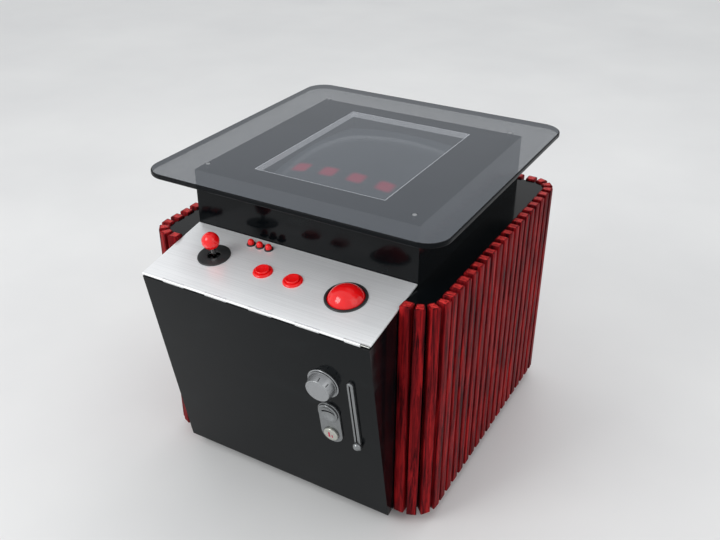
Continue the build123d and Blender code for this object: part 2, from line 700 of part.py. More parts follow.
def trackball_ball():
    """The ball, hollow round its core."""
    return Pos(TRACK_X, TRACK_V, TRACK_W) * (Sphere(TRACK_R) - Sphere(TRACK_CORE_R + RUNNING))


def roller(turn, centre, half):
    """A roller with the slotted disc that its sensor reads."""
    shaft = Pos(*centre) * Rot(*turn) * Cylinder(ROLLER_R, 2 * half)
    disc = Pos(*centre) * Rot(*turn) * Pos(0, 0, -half - 1) * Cylinder(12, 2)
    return shaft + disc


def roller_across():
    """The roller that lies across and turns with the ball's front-to-back motion."""
    w = TRACK_W - ROLLER_OUT
    x0, x1 = TRACK_X - TRACK_HALF_X - 3, TRACK_X + 22
    return roller(UP_X, ((x0 + x1) / 2, TRACK_V + ROLLER_OUT, w), (x1 - x0) / 2)


def roller_along():
    """The roller that lies front to back and turns with the ball's sideways motion."""
    w = TRACK_W - ROLLER_OUT
    v0, v1 = TRACK_V - TRACK_HALF_V - 3, TRACK_V + 22
    return roller(UP_Y, (TRACK_X + ROLLER_OUT, (v0 + v1) / 2, w), (v1 - v0) / 2)


# --- door and its hardware ------------------------------------------------------------------

def door_panel():
    """The black door, drilled for the lock, the coin chute and the reject button."""
    half = HOUSING_HALF
    door = block(-half, half, 0, DOOR_THICK, DOOR_FOOT, DOOR_TOP)
    door -= rod((LOCK_X, 8, LOCK_W), 60, SPINDLE_R + RUNNING, UP_Y)
    door -= rod((COIN_X, 8, REJECT_W), 60, REJECT_STEM_R, UP_Y)
    door -= rod((COIN_X, 0, REJECT_W), 2 * (REJECT_TRAVEL + 1.5), REJECT_R + 0.3, UP_Y)
    return door - block(COIN_X - 18, COIN_X + 18, -5, 30, CUP_W - 8, CUP_W + 8)


def door_leaf():
    """The hinge leaf on the door's inner face."""
    v, w = DOOR_AXIS
    half = HOUSING_HALF - CHEEK - 0.5
    leaf = block(-half, half, DOOR_THICK, DOOR_THICK + LEAF, w + 3, w + 28)
    for x0, x1 in knuckle_spans(0):
        span = (max(x0, -half), min(x1, half))
        web = (DOOR_THICK + 0.2, DOOR_THICK + LEAF, w, w + 3.5)
        leaf += knuckle(span, DOOR_AXIS, DOOR_KNUCKLE_R, web)
    return leaf


def lock_flange():
    """The thin round flange under the lock knob."""
    flange = rod((LOCK_X, -FLANGE_OUT / 2, LOCK_W), FLANGE_OUT, FLANGE_R, UP_Y)
    flange = fillet(flange.edges().sort_by(Axis.Y)[0], 1.5)
    return flange - rod((LOCK_X, 0, LOCK_W), 20, SPINDLE_R + RUNNING, UP_Y)


def lock_knob():
    """The tapered lock knob with two index grooves down its flank."""
    back = -FLANGE_OUT - 0.2
    seat = Pos(LOCK_X, (back - KNOB_OUT) / 2, LOCK_W) * Rot(*UP_Y)
    knob = seat * Cone(KNOB_R, KNOB_FOOT_R, KNOB_OUT + back)
    knob = fillet(knob.edges().sort_by(Axis.Y)[0], 1.2)
    groove = block(-0.9, 0.9, -KNOB_OUT - 1, -KNOB_OUT + 9, KNOB_R - 1.2, KNOB_R + 5)
    for turn in (8, 48):
        knob -= Pos(LOCK_X, 0, LOCK_W) * Rot(0, turn, 0) * groove
    return knob


def lock_cam():
    """The spindle through the door and the arm that turns behind the batten."""
    front = -FLANGE_OUT - 0.2
    spindle = rod((LOCK_X, (front + CAM_BACK) / 2, LOCK_W), CAM_BACK - front, SPINDLE_R, UP_Y)
    return spindle + block(LOCK_X - 9, LOCK_X + 9, CAM_FRONT, CAM_BACK, LOCK_W - 9, LOCK_W + CAM_REACH)


def stadium(x, w0, w1, radius, v0, v1):
    """A plate with round ends, flat on the door."""
    pieces = [rod((x, (v0 + v1) / 2, w), v1 - v0, radius, UP_Y) for w in (w0, w1)]
    return pieces[0] + pieces[1] + block(x - radius, x + radius, v0, v1, w1, w0)


def coin_escutcheon():
    """The long round-ended plate that carries the coin cup and the reject button."""
    plate = stadium(COIN_X, CUP_W, REJECT_W, 23.5, -PLATE_OUT, 0)
    plate = chamfer(plate.edges().filter_by(lambda e: e.bounding_box().max.Y < -PLATE_OUT + 0.1), 1.0)
    plate -= rod((COIN_X, 0, CUP_W), 20, CUP_R - 2, UP_Y)
    return plate - rod((COIN_X, 0, REJECT_W), 20, REJECT_R + 0.3, UP_Y)


def coin_entry_cup():
    """The dished round face with the level slot that coins go in by."""
    body = rod((COIN_X, -4, CUP_W), 8, CUP_R - 2 - RUNNING, UP_Y)
    body += rod((COIN_X, -6, CUP_W), 4, CUP_R, UP_Y)
    dish = Pos(COIN_X, -34, CUP_W) * Sphere(31.5)
    return body - dish - block(COIN_X - 14, COIN_X + 14, -20, 5, CUP_W - 1.8, CUP_W + 1.8)


def coin_slide_guide():
    """The upright channel that the slide knob runs in."""
    half, radius = GUIDE_WIDE / 2, GUIDE_WIDE / 2
    bar = stadium(GUIDE_X, GUIDE_TOP - radius, GUIDE_FOOT + radius, radius, -GUIDE_DEEP, 0)
    rim = bar.edges().filter_by(lambda e: e.bounding_box().max.Y < -GUIDE_DEEP + 0.1)
    bar = fillet(rim, 1.8)
    low, high = GUIDE_FOOT + 5, GUIDE_TOP - 6
    slot = GUIDE_SLOT / 2
    bar -= block(GUIDE_X - slot, GUIDE_X + slot, -20, 0, low, high)
    inside = half - 2.5
    return bar - block(GUIDE_X - inside, GUIDE_X + inside, -GUIDE_DEEP + 2, 0, low, high)


def coin_slide_knob():
    """The ball that straddles the channel, with its stem and the shoe that runs inside."""
    ball = Pos(GUIDE_X, -GUIDE_DEEP - 0.5, SLIDE_W) * Sphere(SLIDE_R)
    half = GUIDE_WIDE / 2 + 0.3
    ball -= block(GUIDE_X - half, GUIDE_X + half, -GUIDE_DEEP - 0.3, 5, SLIDE_W - 20, SLIDE_W + 20)
    ball -= block(GUIDE_X - 20, GUIDE_X + 20, -1.0, 5, SLIDE_W - 20, SLIDE_W + 20)
    stem = rod((GUIDE_X, -GUIDE_DEEP + 1, SLIDE_W), 5, 1.3, UP_Y)
    shoe = block(GUIDE_X - 3.8, GUIDE_X + 3.8, -GUIDE_DEEP + 2.2, -0.4, SLIDE_W - 6, SLIDE_W + 6)
    return ball + stem + shoe


def coin_mechanism():
    """The coin tester behind the slot, with the chute that drops coins into the cash box."""
    x, back = COIN_X, DOOR_THICK
    case = block(x - 32, x + 32, back, back + 48, -300, -172)
    case -= block(x - 15, x + 15, back - 1, back + 40, -296, CUP_W + 8)
    chute = block(x - 26, x + 26, back + 16, back + 46, -330, -299)
    chute -= block(x - 22, x + 22, back + 20, back + 42, -331, -290)
    return case + chute


def reject_button():
    """The round push button that gives a coin back, with its stem through the door."""
    back = 0.5
    button = rod((COIN_X, (back - REJECT_OUT) / 2, REJECT_W), back + REJECT_OUT, REJECT_R, UP_Y)
    button = fillet(button.edges().sort_by(Axis.Y)[0], 2.5)
    return button + rod((COIN_X, 7, REJECT_W), 14, REJECT_STEM_R - RUNNING, UP_Y)


# --- write the parts ------------------------------------------------------------------------

def nodes():
    """Every node of the cabinet by name."""
    slat, stave = straight_slat(), corner_stave()
    side = side_panel()
    cheek = right_cheek()
    cabinet = {
        "base_board": base_board(),
        "plinth_frame": group(plinth_frame()),
        "carcass_side_panels": group([side, side.mirror(Plane.YZ)]),
        "carcass_back_panel": back_panel(),
        "carcass_corner_posts": group(corner_posts()),
        "slats_left": group(slat_row(slat, SIDE_SLATS, SIDE_PITCH, -90)),
        "slats_right": group(slat_row(slat, SIDE_SLATS, SIDE_PITCH, 90)),
        "slats_back": group(slat_row(slat, BACK_SLATS, BACK_PITCH, 180)),
        "slats_corners": group(corner_slats(slat, stave)),
        "top_shelf": top_shelf(),
        "monitor_box_walls": group(monitor_box_walls()),
        "monitor_box_lid": monitor_box_lid(),
        "window_trim": group(window_trim()),
        "screen_bezel": screen_bezel(),
        "crt_tube": crt_tube(),
        "deflection_yoke": deflection_yoke(),
        "monitor_frame": group(monitor_frame()),
        "monitor_board": monitor_board(),
        "table_glass": table_glass(),
        "glass_bolts": group(glass_bolts()),
        "game_board": game_board(),
        "power_supply": power_supply(),
        "speaker": speaker(),
        "cord_gland": cord_gland(),
        "housing_cheeks": group([cheek, cheek.mirror(Plane.YZ)]),
        "housing_rails": group(housing_rails()),
        "coin_box": coin_box(),
        "hinge_leaves_fixed": group(fixed_leaves()),
        "hinge_pins": group(hinge_pins()),
    }
    leaning = {
        "control_plate": control_plate(),
        "joystick_escutcheon": joystick_escutcheon(),
        "joystick_frame": joystick_frame(),
        "control_switches": group(control_switches()),
        "button_barrels": group(button_barrels()),
        "trackball_ring": trackball_ring(),
        "trackball_housing": trackball_housing(),
        "gimbal_ring": gimbal_ring(),
        "joystick_shaft": joystick_shaft(),
        "joystick_ball": joystick_ball(),
        "joystick_dome": joystick_dome(),
        "action_button_left": action_button(ACTION_AT[0]),
        "action_button_right": action_button(ACTION_AT[1]),
        "small_button_left": small_button(SMALL_AT[0]),
        "small_button_middle": small_button(SMALL_AT[1]),
        "small_button_right": small_button(SMALL_AT[2]),
        "trackball_core": trackball_core(),
        "trackball_ball": trackball_ball(),
        "trackball_roller_across": roller_across(),
        "trackball_roller_along": roller_along(),
        "door_panel": door_panel(),
        "door_hinge_leaf": door_leaf(),
        "lock_flange": lock_flange(),
        "coin_escutcheon": coin_escutcheon(),
        "coin_entry_cup": coin_entry_cup(),
        "coin_slide_guide": coin_slide_guide(),
        "coin_mechanism": coin_mechanism(),
        "lock_knob": lock_knob(),
        "lock_cam": lock_cam(),
        "reject_button": reject_button(),
        "coin_slide_knob": coin_slide_knob(),
    }
    for name, piece in leaning.items():
        cabinet[name] = lean(piece)
    return cabinet


os.makedirs("parts", exist_ok=True)
for node_name, shape in nodes().items():
    export_step(Pos(0, BODY_Y, 0) * shape, f"parts/{node_name}.step")
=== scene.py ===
"""Looks of a cocktail table cabinet: a slatted hardwood body, a screen under a smoked glass top and a
leaning control housing with its stick, ball, buttons and locking coin door."""

import json
import logging
import math
import random
from dataclasses import dataclass
from enum import Enum

import bmesh
import bpy
from mathutils import Euler, Matrix, Vector

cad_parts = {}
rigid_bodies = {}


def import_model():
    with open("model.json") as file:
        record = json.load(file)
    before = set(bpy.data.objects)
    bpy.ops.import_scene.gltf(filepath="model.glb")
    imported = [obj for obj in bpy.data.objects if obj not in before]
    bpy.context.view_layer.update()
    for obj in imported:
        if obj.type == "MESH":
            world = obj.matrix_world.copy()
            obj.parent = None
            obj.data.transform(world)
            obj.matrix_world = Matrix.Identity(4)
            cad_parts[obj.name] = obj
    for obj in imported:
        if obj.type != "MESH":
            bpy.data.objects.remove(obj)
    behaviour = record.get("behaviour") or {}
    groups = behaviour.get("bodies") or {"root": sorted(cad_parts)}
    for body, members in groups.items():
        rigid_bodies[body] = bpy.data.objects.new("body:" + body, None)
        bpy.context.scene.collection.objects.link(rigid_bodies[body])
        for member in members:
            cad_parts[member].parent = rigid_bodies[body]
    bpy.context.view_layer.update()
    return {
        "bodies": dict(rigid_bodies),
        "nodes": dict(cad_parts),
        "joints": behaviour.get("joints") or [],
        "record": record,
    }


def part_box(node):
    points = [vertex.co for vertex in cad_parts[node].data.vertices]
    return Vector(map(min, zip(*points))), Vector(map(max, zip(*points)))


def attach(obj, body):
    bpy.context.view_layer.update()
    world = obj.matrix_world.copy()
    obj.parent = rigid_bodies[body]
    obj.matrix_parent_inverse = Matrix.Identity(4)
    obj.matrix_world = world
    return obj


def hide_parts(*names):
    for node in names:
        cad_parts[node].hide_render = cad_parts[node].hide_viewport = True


log = logging.getLogger("cabinet")

MM = 0.001
Triple = tuple[float, float, float]
Colour = Triple
Profile = list[tuple[float, float]]
Socket = bpy.types.NodeSocket
Material = bpy.types.Material
Piece = bpy.types.Object
Mesh = bmesh.types.BMesh

# where the lock stands on the door: across, and down from the lip, in millimetres
LOCK_AT = (143.0, -131.0)

# the face attribute that moves each slat's grain away from its neighbours'
GRAIN_SHIFT = "stave_shift"

# a bar's eased edge as a share of its thinnest side
BAR_EASE = 0.22

# above these angles, in degrees, an edge stays crisp
CRISP, CRISP_CUT, CRISP_WIDE = 32.0, 28.0, 40.0


# --- material building ----------------------------------------------------------------------


class Recipe:
    """A node material while it is being put together."""

    def __init__(self, name: str) -> None:
        """Starts an empty material with a shader and the piece's own coordinates."""
        self.material = bpy.data.materials.new(name)
        self.material.use_nodes = True
        self.tree = self.material.node_tree
        self.shader = self.tree.nodes["Principled BSDF"]
        self.place = self.node("ShaderNodeTexCoord").outputs["Object"]

    def node(self, kind: str) -> bpy.types.Node:
        """Adds a node of a kind."""
        return self.tree.nodes.new(kind)

    def feed(self, socket: Socket, value: object) -> None:
        """Links an output to a socket, or sets a constant on it.

        Args:
            socket: the input that takes the value.
            value: an output socket, a number or a colour.
        """
        if isinstance(value, Socket):
            self.tree.links.new(value, socket)
        else:
            socket.default_value = value

    def shade(self, **values: object) -> None:
        """Sets the shader's sockets by name, with _ for a space.

        Args:
            values: a constant or an output socket for each socket's name.
        """
        for name, value in values.items():
            if isinstance(value, tuple) and len(value) == 3:
                value = (*value, 1.0)
            self.feed(self.shader.inputs[name.replace("_", " ")], value)

    def stretched(self, scale: Triple, shift: Socket | None = None) -> Socket:
        """Coordinates scaled unevenly, for grain and brushing.

        Args:
            scale: how much each direction is scaled.
            shift: coordinates to use in place of the piece's own.

        Returns:
            The scaled coordinates.
        """
        mapping = self.node("ShaderNodeMapping")
        self.feed(mapping.inputs["Vector"], shift or self.place)
        mapping.inputs["Scale"].default_value = scale
        return mapping.outputs["Vector"]

    def noise(self, at: Socket, scale: float, detail: float = 4.0,
              rough: float = 0.55, warp: float = 0.0) -> Socket:
        """A noise field.

        Args:
            at: the coordinates.
            scale: the noise's scale.
            detail: how many octaves it has.
            rough: how strong the fine octaves are.
            warp: how far it is distorted.

        Returns:
            The noise's value, from 0 to 1.
        """
        noise = self.node("ShaderNodeTexNoise")
        self.feed(noise.inputs["Vector"], at)
        noise.inputs["Scale"].default_value = scale
        noise.inputs["Detail"].default_value = detail
        noise.inputs["Roughness"].default_value = rough
        noise.inputs["Distortion"].default_value = warp
        return noise.outputs["Fac"]

    def ramp(self, value: Socket, stops: list[tuple[float, Colour]]) -> Socket:
        """A colour for each value.

        Args:
            value: what picks the colour.
            stops: places and their colours, in order.

        Returns:
            The colour.
        """
        ramp = self.node("ShaderNodeValToRGB")
        self.feed(ramp.inputs["Fac"], value)
        bar = ramp.color_ramp.elements
        while len(bar) < len(stops):
            bar.new(0.5)
        for element, (place, colour) in zip(bar, stops):
            element.position = place
            element.color = (*colour, 1.0)
        return ramp.outputs["Color"]

    def span(self, value: Socket, low: float, high: float,
             start: float = 0.0, end: float = 1.0) -> Socket:
        """A value moved from one range to another, and kept inside it.

        Args:
            value: the value.
            low: the result at start.
            high: the result at end.
            start: where the old range starts.
            end: where it ends.

        Returns:
            The moved value.
        """
        move = self.node("ShaderNodeMapRange")
        self.feed(move.inputs["Value"], value)
        move.inputs["From Min"].default_value = start
        move.inputs["From Max"].default_value = end
        move.inputs["To Min"].default_value = low
        move.inputs["To Max"].default_value = high
        return move.outputs["Result"]

    def maths(self, how: str, first: object, second: object = 0.0) -> Socket:
        """One sum of two values.

        Args:
            how: the node's operation.
            first: a socket or a number.
            second: a socket or a number.

        Returns:
            The result.
        """
        sums = self.node("ShaderNodeMath")
        sums.operation = how
        self.feed(sums.inputs[0], first)
        self.feed(sums.inputs[1], second)
        return sums.outputs["Value"]

    def blend(self, amount: object, under: object, over: object, how: str = "MIX") -> Socket:
        """Two colours mixed.

        Args:
            amount: how much of the upper colour shows.
            under: the lower colour.
            over: the upper colour.
            how: the node's blend type.

        Returns:
            The mixed colour.
        """
        mix = self.node("ShaderNodeMix")
        mix.data_type = "RGBA"
        mix.blend_type = how
        self.feed(mix.inputs["Factor"], amount)
        for socket, value in ((mix.inputs["A"], under), (mix.inputs["B"], over)):
            self.feed(socket, (*value, 1.0) if isinstance(value, tuple) else value)
        return mix.outputs["Result"]

    def rings(self, centre: Triple, axis: Triple, scale: float) -> Socket:
        """Coordinates that change only with the distance from an axis, as lathe marks do.

        Args:
            centre: a point on the axis.
            axis: its direction.
            scale: how much the distance is scaled.

        Returns:
            The coordinates.
        """
        away = self.node("ShaderNodeVectorMath")
        away.operation = "SUBTRACT"
        self.feed(away.inputs[0], self.place)
        self.feed(away.inputs[1], centre)
        across = self.node("ShaderNodeVectorMath")
        across.operation = "CROSS_PRODUCT"
        self.feed(across.inputs[0], away.outputs["Vector"])
        self.feed(across.inputs[1], axis)
        length = self.node("ShaderNodeVectorMath")
        length.operation = "LENGTH"
        self.feed(length.inputs[0], across.outputs["Vector"])
        marks = self.node("ShaderNodeCombineXYZ")
        self.feed(marks.inputs["X"], self.maths("MULTIPLY", length.outputs["Value"], scale))
        return marks.outputs["Vector"]

    def parts(self, vector: Socket) -> tuple[Socket, ...]:
        """The x, y and z of a vector."""
        split = self.node("ShaderNodeSeparateXYZ")
        self.feed(split.inputs["Vector"], vector)
        return split.outputs["X"], split.outputs["Y"], split.outputs["Z"]

    def emboss(self, height: Socket, depth: float, strength: float = 1.0) -> None:
        """Raises the surface by a height field.

        Args:
            height: the field, from 0 to 1.
            depth: how deep it is, in metres.
            strength: how strongly it shows.
        """
        bump = self.node("ShaderNodeBump")
        bump.inputs["Strength"].default_value = strength
        bump.inputs["Distance"].default_value = depth
        self.feed(bump.inputs["Height"], height)
        self.feed(self.shader.inputs["Normal"], bump.outputs["Normal"])


# --- finishes -------------------------------------------------------------------------------


class Cut(Enum):
    """Which face of the timber a finish is for."""

    LONG = "long_grain"
    END = "end_grain"


@dataclass(frozen=True)
class FiguredHardwood:
    """Oiled red hardwood with black figure."""

    name: str
    cut: Cut
    bright: Colour = (0.42, 0.014, 0.015)
    body: Colour = (0.19, 0.005, 0.008)
    deep: Colour = (0.075, 0.002, 0.004)
    black: Colour = (0.012, 0.001, 0.002)
    sawn: Colour = (0.88, 0.055, 0.050)

    def make(self) -> Material:
        """Builds the wood.

        Returns:
            The material.
        """
        recipe = Recipe(self.name)
        shift = recipe.node("ShaderNodeAttribute")
        shift.attribute_name = GRAIN_SHIFT
        moved = recipe.node("ShaderNodeVectorMath")
        recipe.feed(moved.inputs[0], recipe.place)
        recipe.feed(moved.inputs[1], shift.outputs["Vector"])
        at = moved.outputs["Vector"]
        if self.cut is Cut.LONG:
            self._long_grain(recipe, at)
        else:
            self._end_grain(recipe, at)
        return recipe.material

    def _long_grain(self, recipe: Recipe, at: Socket) -> None:
        """Streaks, pores and slow colour change along the board.

        Args:
            recipe: the material being made.
            at: each stave's own coordinates.
        """
        figure = recipe.noise(recipe.stretched((120.0, 120.0, 7.0), at), 1.0, 8.0, 0.70, 0.7)
        fibre = recipe.noise(recipe.stretched((520.0, 520.0, 26.0), at), 1.0, 3.0, 0.6, 0.3)
        cloud = recipe.noise(recipe.stretched((22.0, 22.0, 9.0), at), 1.0, 3.0, 0.5, 0.6)
        wood = recipe.ramp(figure, [(0.35, self.black), (0.42, self.deep), (0.50, self.body),
                                    (0.64, self.bright)])
        shade = recipe.ramp(cloud, [(0.36, (0.60, 0.50, 0.60)), (0.60, (1.0, 1.0, 1.0))])
        wood = recipe.blend(0.7, wood, shade, "MULTIPLY")
        pores = recipe.ramp(fibre, [(0.30, (0.10, 0.05, 0.05)), (0.46, (1.0, 1.0, 1.0))])
        wood = recipe.blend(0.75, wood, pores, "MULTIPLY")
        recipe.shade(Base_Color=wood, Roughness=recipe.span(fibre, 0.62, 0.42, 0.3, 0.7),
                     Specular_IOR_Level=0.06)
        recipe.emboss(recipe.blend(0.35, fibre, figure), 0.0006, 0.7)

    def _end_grain(self, recipe: Recipe, at: Socket) -> None:
        """Growth rings and open pores across the sawn end.

        Args:
            recipe: the material being made.
            at: each stave's own coordinates.
        """
        rings = recipe.noise(recipe.stretched((60.0, 190.0, 60.0), at), 1.0, 5.0, 0.6, 2.2)
        pores = recipe.noise(at, 900.0, 2.0, 0.5)
        wood = recipe.ramp(rings, [(0.33, self.deep), (0.44, self.bright), (0.60, self.sawn)])
        dots = recipe.ramp(pores, [(0.34, (0.12, 0.06, 0.06)), (0.45, (1.0, 1.0, 1.0))])
        recipe.shade(Base_Color=recipe.blend(0.7, wood, dots, "MULTIPLY"), Roughness=0.5,
                     Specular_IOR_Level=0.2)
        recipe.emboss(pores, 0.0004, 0.6)


@dataclass(frozen=True)
class BlackLaminate:
    """Polished black laminate with faint scuffs."""

    name: str
    colour: Colour = (0.0022, 0.0032, 0.0040)
    scuff: Colour = (0.006, 0.008, 0.009)
    dust: Colour = (0.030, 0.032, 0.034)

    def make(self) -> Material:
        """Builds the laminate.

        Returns:
            The material.
        """
        recipe = Recipe(self.name)
        ripple = recipe.noise(recipe.place, 90.0, 2.0, 0.5)
        wear = recipe.noise(recipe.stretched((6.0, 6.0, 22.0)), 1.0, 6.0, 0.65, 0.8)
        fleck = recipe.noise(recipe.place, 1400.0, 2.0, 0.6)
        rub = recipe.span(wear, 0.0, 1.0, 0.56, 0.74)
        tone = recipe.blend(rub, self.colour, self.scuff)
        dusty = recipe.span(fleck, 0.0, 0.35, 0.66, 0.74)
        tone = recipe.blend(dusty, tone, self.dust)
        recipe.shade(Base_Color=tone, Roughness=recipe.span(wear, 0.10, 0.24, 0.40, 0.74),
                     Specular_IOR_Level=0.13)
        recipe.emboss(ripple, 0.00012, 0.35)
        return recipe.material


@dataclass(frozen=True)
class Metal:
    """Bare metal: polished, brushed or cast."""

    name: str
    colour: Colour
    smooth: float
    rough: float
    brushing: Triple = (60.0, 60.0, 60.0)
    fine: float = 8.0
    depth: float = 0.00002
    anisotropy: float = 0.0
    metallic: float = 1.0
    centre: Triple | None = None
    axis: Triple = (0.0, 0.0, 1.0)
    # painted shade: how strongly creases and hollows are darkened, how far the occlusion looks, and the
    # colour of that shade
    painted_shade: float = 0.0
    painted_shade_reach: float = 0.012
    painted_shade_colour: Colour = (0.02, 0.02, 0.022)
    lathe_marks: float = 900.0
    shadow: float = 0.86

    def make(self) -> Material:
        """Builds the metal.

        Returns:
            The material.
        """
        recipe = Recipe(self.name)
        if self.centre:
            at = recipe.rings(self.centre, self.axis, self.lathe_marks)
        else:
            at = recipe.stretched(self.brushing)
        lines = recipe.noise(at, self.fine, 5.0, 0.7)
        smears = recipe.noise(recipe.place, 14.0, 4.0, 0.6, 0.6)
        low = tuple(self.shadow * channel for channel in self.colour)
        tone = recipe.ramp(lines, [(0.30, low), (0.62, self.colour)])
        # painted shade: an ambient occlusion node darkens the colour in creases and hollows, where shade
        # falls
        if self.painted_shade:
            corner = recipe.node("ShaderNodeAmbientOcclusion")
            corner.inputs["Distance"].default_value = self.painted_shade_reach
            crevice_darkening = recipe.span(corner.outputs["AO"], self.painted_shade, 0.0, 0.35, 0.85)
            tone = recipe.blend(crevice_darkening, tone, self.painted_shade_colour)
        rough = recipe.span(recipe.blend(0.5, lines, smears), self.smooth, self.rough, 0.35, 0.68)
        recipe.shade(Base_Color=tone, Metallic=self.metallic, Roughness=rough,
                     Anisotropic=self.anisotropy)
        recipe.emboss(lines, self.depth, 0.6)
        return recipe.material


@dataclass(frozen=True)
class Moulding:
    """Moulded plastic or paint, from matt to gloss."""

    name: str
    colour: Colour
    rough: float
    coat: float = 0.0
    texture: float = 700.0
    depth: float = 0.00005
    flow: float = 0.12
    # glow makes the moulding give off light of its own, a painted glow
    glow: float = 0.0
    coat_rough: float = 0.06

    def make(self) -> Material:
        """Builds the moulding.

        Returns:
            The material.
        """
        recipe = Recipe(self.name)
        skin = recipe.noise(recipe.place, self.texture, 2.0, 0.5)
        flow = recipe.noise(recipe.place, 26.0, 4.0, 0.6, 0.8)
        pale = tuple(min(1.0, (1.0 + self.flow) * channel + 0.004) for channel in self.colour)
        dark = tuple((1.0 - self.flow) * channel for channel in self.colour)
        recipe.shade(Base_Color=recipe.ramp(flow, [(0.34, dark), (0.66, pale)]),
                     Roughness=recipe.span(flow, self.rough * 0.85, min(1.0, self.rough * 1.25), 0.3, 0.7),
                     Coat_Weight=self.coat, Coat_Roughness=self.coat_rough, Emission_Color=pale,
                     Emission_Strength=self.glow)
        recipe.emboss(skin, self.depth, 0.5)
        return recipe.material


@dataclass(frozen=True)
class SmokedGlass:
    """Tinted plate glass, or its ground edge. A sheet's two faces both cover what is under it."""

    name: str
    colour: Colour
    cover: float
    rough: float
    shine: float = 0.5
    smear: float = 0.05

    def make(self) -> Material:
        """Builds the glass.

        Returns:
            The material.
        """
        recipe = Recipe(self.name)
        film = recipe.noise(recipe.place, 7.0, 4.0, 0.6, 0.5)
        wipe = recipe.noise(recipe.stretched((3.0, 26.0, 3.0)), 1.0, 4.0, 0.6, 0.4)
        smear = recipe.span(recipe.blend(0.5, film, wipe), self.rough, self.rough + self.smear, 0.42, 0.68)
        low = tuple(0.93 * channel for channel in self.colour)
        recipe.shade(Base_Color=recipe.ramp(film, [(0.35, low), (0.65, self.colour)]), Roughness=smear,
                     Alpha=self.cover, IOR=1.52, Specular_IOR_Level=self.shine)
        return recipe.material


@dataclass(frozen=True)
class TubeFace:
    """The picture tube: a grey face with a row of soft red blocks, and a dark coated funnel."""

    name: str
    rim: float
    block: float = 17.0
    pitch: float = 65.0
    row: float = -101.0
    face_up: float = 24.0
    lit: Colour = (0.11, 0.13, 0.15)
    red: Colour = (1.0, 0.05, 0.16)

    def make(self, home: Matrix) -> Material:
        """Builds the tube's coatings.

        Args:
            home: where the tube stands.

        Returns:
            The material.
        """
        recipe = Recipe(self.name)
        spot = recipe.node("ShaderNodeMapping")
        recipe.feed(spot.inputs["Vector"], recipe.place)
        spot.inputs["Location"].default_value = -home.translation / MM
        spot.inputs["Scale"].default_value = (1.0 / MM, 1.0 / MM, 1.0 / MM)
        x, y, z = recipe.parts(spot.outputs["Vector"])
        face = recipe.span(z, 0.0, 1.0, self.rim + self.face_up, self.rim + self.face_up + 1.0)
        mottle = recipe.noise(recipe.place, 60.0, 4.0, 0.6)
        funnel = recipe.ramp(mottle, [(0.3, (0.012, 0.012, 0.013)), (0.7, (0.035, 0.034, 0.033))])
        lines = recipe.noise(recipe.stretched((1.0, 900.0, 1.0)), 1.0, 1.0, 0.4)
        phosphor = recipe.ramp(lines, [(0.3, (0.10, 0.115, 0.125)), (0.7, (0.15, 0.165, 0.175))])
        recipe.shade(Base_Color=recipe.blend(face, funnel, phosphor),
                     Roughness=recipe.span(mottle, 0.08, 0.16, 0.3, 0.7), Coat_Weight=0.3,
                     Coat_Roughness=0.03)
        dim = recipe.blend(face, (0.0, 0.0, 0.0), self.lit)
        red = recipe.maths("MULTIPLY", self._row_of_blocks(recipe, x, y), face)
        recipe.shade(Emission_Color=recipe.blend(red, dim, self.red), Emission_Strength=1.0)
        recipe.emboss(lines, 0.00002, 0.2)
        return recipe.material

    def _row_of_blocks(self, recipe: Recipe, x: Socket,
                       y: Socket) -> Socket:
        """Four soft round-cornered blocks in a row across the face.

        Args:
            recipe: the material being made.
            x: the place across.
            y: the place front to back.

        Returns:
            1 inside a block, falling to 0 outside.
        """
        across = recipe.maths("PINGPONG", recipe.maths("ADD", x, 10.0 * self.pitch), self.pitch / 2)
        across = recipe.maths("SUBTRACT", self.pitch / 2, across)
        away = recipe.maths("ABSOLUTE", recipe.maths("SUBTRACT", y, self.row))
        square = recipe.maths("ADD", recipe.maths("POWER", across, 4.0), recipe.maths("POWER", away, 4.0))
        reach = recipe.maths("POWER", square, 0.25)
        inside = recipe.span(reach, 1.0, 0.0, self.block * 0.7, self.block * 1.25)
        ends = recipe.span(recipe.maths("ABSOLUTE", x), 1.0, 0.0, 1.98 * self.pitch, 2.02 * self.pitch)
        return recipe.maths("MULTIPLY", inside, ends)


@dataclass(frozen=True)
class CircuitBoard:
    """Green lacquered board whose parts stand out in black from its face."""

    name: str
    face: float
    outward: float

    def make(self) -> Material:
        """Builds the board.

        Returns:
            The material.
        """
        recipe = Recipe(self.name)
        x, _, _ = recipe.parts(recipe.place)
        part = recipe.span(x, 0.0, 1.0, self.face, self.face + self.outward * 0.0008)
        tracks = recipe.node("ShaderNodeTexBrick")
        recipe.feed(tracks.inputs["Vector"], recipe.stretched((260.0, 260.0, 260.0)))
        tracks.inputs["Color1"].default_value = (0.01, 0.13, 0.05, 1.0)
        tracks.inputs["Color2"].default_value = (0.015, 0.17, 0.06, 1.0)
        tracks.inputs["Mortar"].default_value = (0.03, 0.30, 0.11, 1.0)
        body = recipe.noise(recipe.place, 300.0, 3.0, 0.6)
        black = recipe.ramp(body, [(0.3, (0.010, 0.010, 0.011)), (0.7, (0.022, 0.022, 0.024))])
        recipe.shade(Base_Color=recipe.blend(part, tracks.outputs["Color"], black),
                     Roughness=recipe.span(body, 0.3, 0.5, 0.3, 0.7))
        recipe.emboss(body, 0.0001, 0.4)
        return recipe.material


